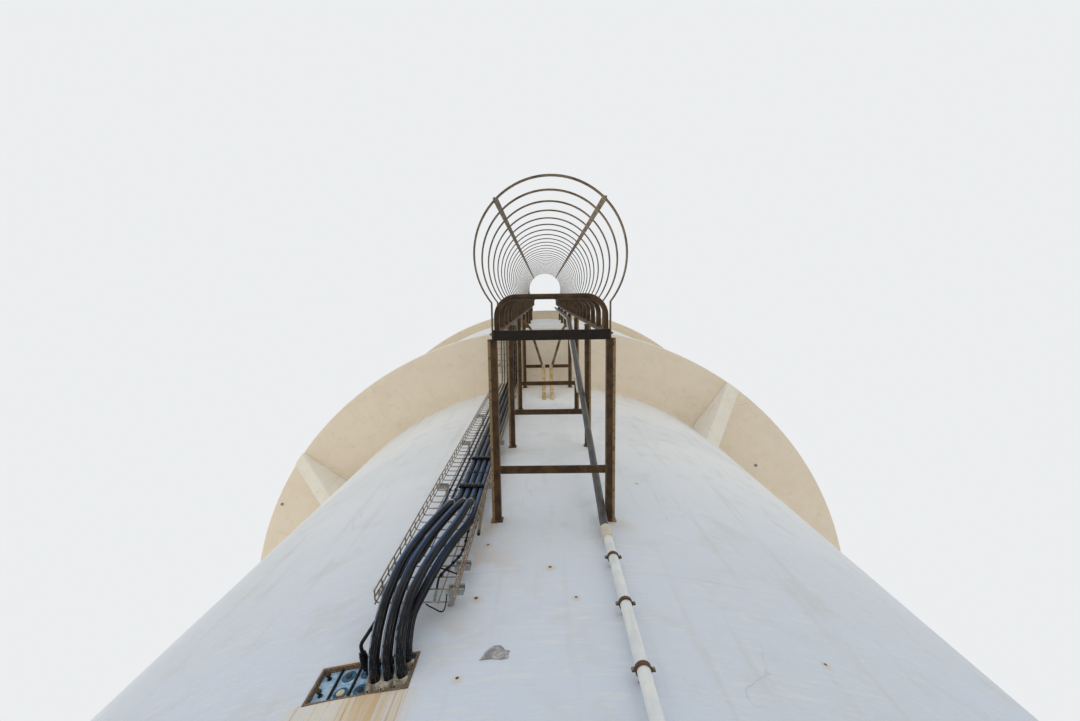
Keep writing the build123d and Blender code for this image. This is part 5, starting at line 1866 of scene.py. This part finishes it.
@dataclass
class Cables:
    """Black cables with their ties, cleats and a loose lead."""

    cable_r: float = 0.017
    lane_first: float = -0.487
    lane_pitch: float = 0.036
    wall_y: float = -3.3301
    drum_y: float = -4.0095
    thin_lanes: Pair = (-0.56, -0.53)
    thin_y: float = -3.3191
    thin_r: float = 0.006
    wall_ties: tuple[float, ...] = (4.3, 5.05, 5.8, 6.55, 7.15)
    drum_ties: tuple[float, ...] = (8.3, 9.1, 9.9, 10.7, 11.3)
    thin_ties: tuple[float, ...] = (3.68, 4.1, 4.6, 5.2, 5.9, 6.6, 7.2)
    tie_thick: float = 0.0016
    tie_height: float = 0.0075
    straps: tuple[tuple[Point, Point], ...] = (
        ((-0.4886, -3.3902, 3.7764), (0.073, 0.26, 0.963)),
        ((-0.4474, -3.3545, 3.8718), (-0.051, 0.341, 0.939)),
        ((-0.4095, -3.3592, 3.8594), (-0.07, 0.367, 0.927)))

    def build(self) -> None:
        """Dress the cables, then make their ties, cleats and the loose lead."""
        dress(["cable_1", "cable_2", "cable_3", "cable_4", "thin_cable", "spare_cable"], CABLE_SHEATH)
        self.connector()
        self.ties()
        self.cleats()
        self.leads()

    def connector(self) -> None:
        """Make the inline connector with its gland nuts, straight out from its module."""
        transit = CableTransit()
        length, nut, body = 0.062, 0.0105, 0.0129
        place = transit.place(2, 1) @ moved(0, 0, 0.014)
        half = [
            (0.0065, 0), (nut - 0.001, 0.0008), (nut, 0.002), (nut, 0.01), (nut - 0.001, 0.0115),
            (body - 0.0012, 0.012), (body, 0.0135)]
        form = Form()
        form.lathe(half + [(r, length - z) for r, z in reversed(half)], place, 32)
        for k in range(12):
            turn = Matrix.Rotation(tau * k / 12, 4, "Z")
            for z in (0.003, length - 0.009):
                form.block((0.0014, 0.0022, 0.006), place @ turn @ moved(nut, 0, z), 0.0004)
        form.settle("connector_body", [TIE_PLASTIC], ("inline_connector",))

    def band(self, form: Form, points: Sequence[Point], height: float, thick: float) -> None:
        """Draw a flat band along a closed line."""
        form.sweep(points, rounded_bar(height, thick, thick * 0.3), side=UPWARDS, closed=True)

    def bundle(self, form: Form, y: float, z: float) -> None:
        """Draw a tie round the thick cables where they lie side by side against the tray.

        Args:
            form: Where it is drawn.
            y: Middle of the cables.
            z: Height of the tie.
        """
        x0 = self.lane_first
        x1 = x0 + 3 * self.lane_pitch
        reach = self.cable_r + self.tie_thick / 2 + 0.0003
        line = []
        for middle, start in ((x1, -90), (x0, 90)):
            line += [
                Vector((middle + reach * c, y + reach * s, z + 0.004 * s))
                for c, s in arc(1, start, start + 180, 8)]
        self.band(form, line, self.tie_height, self.tie_thick)
        wide, front = x1 - x0, y - reach
        form.block((0.012, 0.01, 0.006), ahead(x0 + 0.35 * wide, front, z), 0.001)
        tail = [
            (x0 + 0.35 * wide, front - 0.002, z), (x0 + 0.3 * wide, front - 0.014, z - 0.004),
            (x0 + 0.28 * wide, front - 0.022, z - 0.014)]
        form.sweep(smooth_path(tail, 4), rounded_bar(0.004, 0.0012, 0.0003), side=UPWARDS)

    def ties(self) -> None:
        """Make the ties round the thick cables, the thin ones and the wires of the tray."""
        form = Form()
        for heights, y in ((self.wall_ties, self.wall_y), (self.drum_ties, self.drum_y)):
            for z in heights:
                self.bundle(form, y, z)
        for z in self.thin_ties:
            for x in self.thin_lanes:
                self.loop(form, x, z)
        form.settle("cable_ties", [TIE_PLASTIC])

    def loop(self, form: Form, x: float, z: float) -> None:
        """Draw a small tie round one thin cable and the tray's wire behind it.

        Args:
            form: Where it is drawn.
            x: Middle of the cable.
            z: Height of the tie.
        """
        at, r = Vector((x, self.thin_y, z)), self.thin_r
        line = [
            at + Vector(((r + 0.0015) * c, (r + 0.0055) * s + 0.004, 0.002 * c)) for c, s in circle(1, 14)]
        self.band(form, line, 0.005, 0.0012)
        form.block((0.007, 0.006, 0.005), ahead(x, self.thin_y - r - 0.0015, z), 0.0008)

    def cleats(self) -> None:
        """Make the clamps across the cables where they enter the tray, and the light strap below."""
        form = Form()
        last = self.lane_first + 3 * self.lane_pitch
        middle, wide = (self.lane_first + last) / 2, last - self.lane_first + 2 * self.cable_r + 0.004
        front = self.wall_y - self.cable_r
        for z, tall in ((4.09, 0.042), (4.54, 0.026)):
            form.kind = 0
            form.block((wide, tall, 0.012), ahead(middle, front + 0.003, z), 0.003)
            for k in range(4):
                x = self.lane_first + k * self.lane_pitch
                form.block((0.026, tall * 0.8, 0.016), ahead(x, front + 0.003, z), 0.005)
            form.kind = 1
            for k in range(3):
                x = self.lane_first + (k + 0.5) * self.lane_pitch
                form.bolt(ahead(x, front - 0.009, z + 0.004), 0.006, 0.004)
        form.kind = 2
        reach = self.cable_r + 0.0012
        for at, along in self.straps:
            place = stand(at, along)
            ring = [
                place @ Vector((*p, 0.003 * sin(3 * tau * k / 24))) for k, p in enumerate(circle(reach, 24))
            ]
            form.sweep(ring, rounded_bar(0.015, 0.0018, 0.0005), side=along, closed=True)
        form.settle("cable_cleats", [TIE_PLASTIC, BOLT_ZINC, BEIGE_PLASTIC])

    def leads(self) -> None:
        """Make the loose leads on the tray's right side, a stick beside its rim and a tie across it."""
        form = Form()
        loop = [
            (-0.4508, -3.322, 3.1159), (-0.4324, -3.326, 3.0965), (-0.411, -3.33, 3.0773),
            (-0.3908, -3.332, 3.0613), (-0.3791, -3.332, 3.0689), (-0.3813, -3.331, 3.1126),
            (-0.3871, -3.33, 3.153)]
        twisted = [
            (-0.4331, -3.32, 3.198), (-0.4395, -3.322, 3.2693), (-0.4305, -3.326, 3.2988),
            (-0.411, -3.33, 3.3362), (-0.3947, -3.332, 3.3754), (-0.3825, -3.332, 3.4199),
            (-0.3782, -3.331, 3.493), (-0.3837, -3.326, 3.5806), (-0.3896, -3.32, 3.69),
            (-0.396, -3.317, 3.8)]
        form.tube(smooth_path(loop, 6), 0.0024, 8)
        form.tube(smooth_path(twisted, 6), 0.0044, 8)
        for k in range(1, 8):
            at, after = Vector(twisted[k]), Vector(twisted[k + 1])
            form.block(
                (0.013, 0.012, 0.016), stand(at.lerp(after, 0.35), after - at, (0, -1, 0.3 * (k % 3))),
                0.003)
        form.tube([(-0.4575, -3.337, 3.32), (-0.41, -3.344, 3.283), (-0.364, -3.35, 3.247)], 0.003, 8)
        form.tube([(-0.3219, -3.372, 3.5036), (-0.3231, -3.372, 3.5316)], 0.0068, 10)
        form.kind = 1
        end = Vector(loop[-1])
        form.tube(
            [end, end + Vector((-0.002, 0.001, 0.012)), end + Vector((-0.0039, 0.001, 0.0247))], 0.0042, 12)
        start = Vector(twisted[0])
        form.tube([
            start + Vector((0.005, 0.002, -0.0545)), start + Vector((0.0026, 0.001, -0.028)), start,
        ], 0.0046, 12)
        form.kind = 2
        form.tube(
            [(-0.3225, -3.372, 3.5156), (-0.3324, -3.372, 3.6855), (-0.3427, -3.372, 3.8862)], 0.0066, 10)
        form.settle("loose_leads", [TIE_PLASTIC, GREEN_SLEEVE, TRANSIT_STEEL])


@dataclass
class Pipes:
    """White pipe with its clamps and coupling, the grey pipe and the light conduit."""

    x: float = 0.236
    y: float = -3.2945
    r: float = 0.02
    top: float = 3.6
    coupling_r: float = 0.026
    coupling_top: float = 3.7
    first_clamp: float = 3.45
    clamp_pitch: float = 0.3
    clamps: int = 11
    upper_y: float = -4.125
    conduit_x: float = 0.2075
    conduit_r: float = 0.008
    upper_clips: tuple[float, ...] = (7.3, 8.1, 8.95, 9.8, 10.65, 11.45)
    u_bolts: tuple[float, ...] = (8.6845, 9.8845, 11.0845)
    sockets: tuple[float, ...] = (7.9, 10.4)

    def build(self) -> None:
        """Dress the pipes and make their fittings."""
        dress(["white_pipe"], WHITE_PIPE)
        dress(["grey_pipe"], GREY_PIPE)
        dress(["light_conduit"], BEIGE_PLASTIC)
        self.coupling()
        self.saddles()
        self.upper_fixings()

    def coupling(self) -> None:
        """Make the beige coupling with its dark seal."""
        form = Form()
        place = moved(self.x, self.y, self.top)
        r, length = self.coupling_r, self.coupling_top - self.top
        form.lathe([
            (self.r - 0.001, -0.001), (r - 0.003, 0), (r, 0.004), (r, 0.03), (r - 0.0015, 0.032),
            (r - 0.0015, length - 0.026), (r, length - 0.024), (r, length - 0.004),
            (r - 0.003, length - 0.0005), (self.r - 0.001, length)], place, 40)
        form.kind = 1
        form.lathe([
            (self.r - 0.001, length - 0.004), (r - 0.002, length - 0.003), (r - 0.0022, length + 0.006),
            (self.r - 0.001, length + 0.009)], place, 40)
        form.settle("coupling_socket", [BEIGE_PLASTIC, SEAL_RUBBER], ("pipe_coupling",))

    def saddles(self) -> None:
        """Make the clamps of the white pipe with their stems and screws."""
        form = Form()
        wall = wall_y(Tower().tower_r, self.x)
        inner, outer = self.r + 0.0004, self.r + 0.004
        for index in range(self.clamps):
            z = self.first_clamp - index * self.clamp_pitch
            place = moved(self.x, self.y, z)
            form.kind = 0
            form.lathe([
                (inner, -0.0075), (outer, -0.008), (outer + 0.0004, 0), (outer, 0.008), (inner, 0.0075),
                (inner, 0)], place, 32, closed=True)
            for side in (-1, 1):
                at = Vector((self.x + side * (outer + 0.0045), self.y, z - 0.0075))
                form.block((0.0112, 0.006, 0.015), moved(*at), 0.001)
                form.kind = 1
                form.bolt(stand(at + Vector((side * 0.0005, -0.003, 0.0075)), FRONT), 0.005)
                form.kind = 0
            form.tube([(self.x, self.y + outer - 0.001, z), (self.x, wall + 0.004, z)], 0.0055, 12)
            out = Vector((self.x, wall, 0)).normalized()
            form.lathe(about(0, 0, (13, -3), (13, 1.8), (11.5, 3)), stand((self.x, wall, z), out), 20)
        form.settle("pipe_saddles", [CLAMP_RUST, BOLT_ZINC], ("pipe_clamps",))

    def upper_fixings(self) -> None:
        """Make the clips that hold the conduit on the grey pipe, and the pipe's U-bolts and sockets."""
        form = Form()
        for z in self.upper_clips:
            line = []
            for middle, r, start, end, steps in (
                (self.x, self.r + 0.0009, -100, 110, 12),
                (self.conduit_x, self.conduit_r + 0.0009, 110, 250, 8),
            ):
                line += [Vector((middle + c, self.upper_y + s, z)) for c, s in arc(r, start, end, steps)]
            form.sweep(line, rounded_bar(0.01, 0.0016, 0.0004), side=UPWARDS, closed=True)
        form.kind = 1
        for z in self.u_bolts:
            reach = self.r + 0.0034
            bend = [(self.x + c, self.upper_y + s, z) for c, s in arc(reach, -90, -270, 15)]
            line = [(0.272, self.upper_y - reach, z), *bend, (0.272, self.upper_y + reach, z)]
            form.tube(line, 0.003, 8)
            for side in (-1, 1):
                form.bolt(stand((0.266, self.upper_y + side * reach, z), (1, 0, 0)), 0.0055)
        form.kind = 2
        for z in self.sockets:
            form.lathe(
                about(self.r, 0, (-0.5, -32), (2.6, -31), (3, -28), (3, 28), (2.6, 31), (-0.5, 32)),
                moved(self.x, self.upper_y, z), 32)
        form.settle("upper_pipe_fixings", [TIE_PLASTIC, BOLT_ZINC, GREY_PIPE])


@dataclass
class Doorway:
    """Steel door at the tower's back, with louvres, hinges and a threshold."""

    half: float = 0.44
    face: float = 3.0824
    back: float = 3.0324
    foot: float = 0.15
    head: float = 2.19
    gap: float = 0.003
    hinge_heights: tuple[float, ...] = (0.42, 1.17, 1.92)
    louvres: int = 11

    def build(self) -> None:
        """Dress the frame and the handle, and make the leaf and its ironwork."""
        dress(["door_frame"], DOOR_PAINT)
        dress(["door_handle"], STEEL_BRIGHT)
        form = Form()
        thick = self.face - self.back
        out = Vector((0, 1, 0))
        wide = 2 * (self.half - self.gap)
        tall = self.head - self.foot - 2 * self.gap
        middle = (self.foot + self.head) / 2
        form.block((wide, tall, thick), stand((0, self.back, middle), out), 0.002)
        self.moulding(form, 1.17, 2.05)
        self.moulding(form, 0.3, 1.02)
        for k in range(self.louvres):
            z = 0.36 + 0.6 * k / (self.louvres - 1)
            place = stand((0, self.face - 0.004, z), (0, 1, 0.55))
            form.block((0.62, 0.046, 0.004), place @ moved(0, -0.004, 0.006), 0.001)
        form.kind = 1
        form.block((0.8, 0.1, 0.002), stand((0, self.face, 0.215), out), 0.0008)
        form.block((1, 0.15, 0.008), moved(0, self.face + 0.03, self.foot - 0.001), 0.002)
        for z in self.hinge_heights:
            x = -self.half
            form.tube([(x, self.face + 0.009, z - 0.05), (x, self.face + 0.009, z + 0.05)], 0.008, 14)
            for gap_z in (-0.017, 0.017):
                form.lathe(about(0, 0, (8.4, -1.2), (8.4, 1.2)), moved(x, self.face + 0.009, z + gap_z), 14)
            form.block((0.05, 0.09, 0.003), stand((x + 0.027, self.face, z), out), 0.0008)
            for dz in (-0.03, 0, 0.03):
                form.lathe(
                    about(0, 0, (4, 0), (3.5, 1.2)), stand((x + 0.032, self.face + 0.0028, z + dz), out),
                    10)
        form.lathe(about(0, 0, (12, 0), (12, 4), (9, 6)), stand((0.35, self.face + 0.0078, 1.125), out), 20)
        form.settle("door_leaf_steel", [DOOR_PAINT, STEEL_BRIGHT], ("door_leaf",))

    def moulding(self, form: Form, z0: float, z1: float) -> None:
        """Draw a raised frame on the leaf, between two heights."""
        corners = [(x, self.face + 0.002, z) for x, z in ((-0.34, z0), (0.34, z0), (0.34, z1), (-0.34, z1))]
        form.sweep(mitred(corners, 0.012), rounded_bar(0.01, 0.022, 0.003), side=(0, 1, 0), closed=True)


@dataclass
class GalleryRailing:
    """Gallery railing with base flanges, welds and a kicking plate."""

    radius: float = 3.987
    deck: float = 11.7
    posts: int = 24
    post_r: float = 0.019
    bars: tuple[Pair, ...] = ((12.0667, 0.013), (12.4333, 0.013), (12.779, 0.021))

    def build(self) -> None:
        """Dress the rails and make the flanges, the welds, the top rail's knuckles and the bolts."""
        dress(["gallery_railing"], WHITE_METAL)
        form = Form()
        for index in range(self.posts):
            azimuth = (index + 0.5) * 360 / self.posts
            foot = around(self.radius, azimuth, self.deck)
            form.kind = 0
            form.lathe(
                about(0, 0, (55, 0), (55, 7), (53.5, 8.5), (26, 8.5), (21, 12), (18.5, 18)), moved(*foot),
                28)
            for z, _ in self.bars[:2]:
                weld = about(self.post_r, 0, (-1, -18), (1.6, -15), (2.2, 0), (1.6, 15), (-1, 18))
                form.lathe(weld, moved(*around(self.radius, azimuth, z)), 20)
            self.top_knuckle(form, azimuth)
            form.kind = 1
            for k in range(4):
                turn = radians(45 + 90 * k + azimuth)
                at = foot + Vector((cos(turn), sin(turn), 0)) * 0.041 + Vector((0, 0, 0.0083))
                form.bolt(moved(*at), 0.008, 0.005)
        form.kind = 0
        form.settle("railing_fittings", [WHITE_METAL, BOLT_ZINC])

    def top_knuckle(self, form: Form, azimuth: float) -> None:
        """Draw the rounded joint where the top rail turns over a post."""
        z, r = self.bars[2]
        form.lathe(arc(r * 1.03, -80, 80, 10), moved(*around(self.radius, azimuth, z)), 20)


@dataclass
class Lantern:
    """Glazed lantern with its cornice, glazing beads, seamed roof, vent and rod."""

    radius: float = 1.5
    base_top: float = 12.5
    top: float = 14.0
    sides: int = 12
    pane_mid: float = 1.4239
    pane_half: float = 0.3543
    pane_foot: float = 12.57
    pane_head: float = 13.93
    eave_r: float = 1.63
    eave_top: float = 14.09
    roof_top: float = 14.84
    vent_r: float = 0.23
    neck_r: float = 0.165
    neck_top: float = 14.996
    vent_top: float = 15.1
    hollow_r: float = 1.39
    hollow_top: float = 14.74
    hollow_top_r: float = 0.205
    seams: int = 24

    def build(self) -> None:
        """Dress the frame, the glass and the rod, and make the rest."""
        dress(["lantern_frame"], WHITE_METAL)
        dress(["lantern_glass"], LANTERN_GLASS)
        dress(["lightning_rod"], STEEL_BRIGHT)
        self.trim()
        self.roof()
        self.vent()

    def trim(self) -> None:
        """Make the sill on the base, the glazing beads and the sill bolts."""
        form = Form()
        r, z = self.radius, self.base_top
        form.lathe(
            about(r, z, (-10, -75), (12, -70), (16, -60), (30, -40), (34, -6), (30, -1), (-10, 0.5)),
            segments=120, closed=True)
        for index in range(self.sides):
            turn = Matrix.Rotation(tau * (index + 0.5) / self.sides, 4, "Z")
            for side in (1, -1):
                self.bead(form, turn, self.pane_mid + side * 0.0095)
        form.kind = 1
        for index in range(self.sides * 2):
            a = tau * (index + 0.25) / (self.sides * 2)
            at = Vector(((r + 0.012) * cos(a), (r + 0.012) * sin(a), z))
            form.bolt(moved(*at), 0.008)
        form.settle("lantern_trim", [WHITE_METAL, BOLT_ZINC])

    def bead(self, form: Form, turn: Matrix, reach: float) -> None:
        """Draw the bead round one side of a pane.

        Args:
            form: Where it is drawn.
            turn: Turn of the pane about the tower's axis.
            reach: Distance of the bead from the axis.
        """
        half, low, high = self.pane_half - 0.006, self.pane_foot + 0.006, self.pane_head - 0.006
        path = mitred(
            [(reach, -half, low), (reach, half, low), (reach, half, high), (reach, -half, high)], 0.008)
        side = turn.to_3x3() @ Vector((1, 0, 0))
        form.sweep([turn @ p for p in path], rounded_bar(0.009, 0.014, 0.002), side=side, closed=True)

    def roof(self) -> None:
        """Make the hollow roof with its rolled eave and standing seams."""
        form = Form()
        eave, top = self.eave_r, self.eave_top
        slope = (self.roof_top - top) / (eave - self.vent_r)
        rise, inner, foot = self.roof_top - top, self.hollow_top_r, self.top
        outside = [(eave - (eave - self.vent_r) * k / 10, top + rise * k / 10) for k in range(10)]
        inside = [
            (inner + (self.hollow_r - inner) * k / 6, self.hollow_top - (self.hollow_top - top) * k / 6)
            for k in range(6)]
        form.lathe([
            (self.hollow_r, foot),
            *about(eave, foot, (-34, 0), (-30, 6), (-22, 6), (-18, 0), (-6, 0), (0, 5)),
            *about(eave, top, (0, -22), (-4, -18), (-4, -12)), *outside,
            (self.vent_r, self.roof_top - 0.001), (0.1, self.roof_top), (0.0005, self.roof_top),
            (0.0005, self.hollow_top), *inside, (self.hollow_r, top)], segments=144, closed=True)
        run = eave - 0.012 - self.vent_r
        for index in range(self.seams):
            azimuth = 360 * (index + 0.5) / self.seams
            path = [
                around(eave - 0.012 - run * k / 4, azimuth, top + 0.004 + slope * run * k / 4)
                for k in range(5)]
            form.sweep(path, rounded_bar(0.01, 0.03, 0.003), side=around(1, azimuth + 90))
        form.settle("roof_seamed", [WHITE_METAL], ("lantern_roof",), sharp=30)

    def vent(self) -> None:
        """Make the vent with its louvred neck and cap, and the rod's clamp."""
        form = Form()
        neck, low, high = self.neck_r, self.roof_top, self.neck_top
        profile = [(neck, low - 0.004)]
        for k in range(4):
            z = low + 0.012 + k * 0.036
            profile += [(neck, z), (neck - 0.018, z + 0.004), (neck - 0.018, z + 0.016), (neck, z + 0.026)]
        cap = self.vent_r
        profile += [
            (neck, high - 0.001), (cap - 0.004, high - 0.0008), (cap, high + 0.003),
            (cap - 0.002, high + 0.008)]
        for k in range(1, 9):
            t = k / 8
            profile.append((
                cap + (0.024 - cap) * t,
                high + 0.008 + (self.vent_top - high - 0.008) * (1 - (1 - t) ** 1.25)))
        form.lathe(profile, segments=72)
        place = moved(0, 0, self.vent_top)
        form.lathe(
            about(0, 0, (24, -3), (30, 4), (33, 14), (30, 24), (20, 30), (15, 45), (12.5, 50)), place, 32)
        for z in (0.35, 0.75):
            form.lathe(about(0, 0, (11.8, 0), (16, 3), (16, 17), (11.8, 20)), place @ moved(0, 0, z), 24)
        form.settle("vent_and_finial", [WHITE_METAL], ("roof_vent",), sharp=30)


def main() -> None:
    """Build the lighthouse piece by piece."""
    logging.basicConfig(level=logging.INFO, format="%(name)s %(message)s")
    PhotoCamera().build()
    Studio().build()
    parts = (
        Tower(), Ladder(), SafetyCage(), Struts(), CableTrays(), CableTransit(), Cables(), Pipes(),
        Doorway(), GalleryRailing(), Lantern())
    for part in parts:
        part.build()
        LOG.info("%s is done", type(part).__name__)


if __name__ == "__main__":
    main()
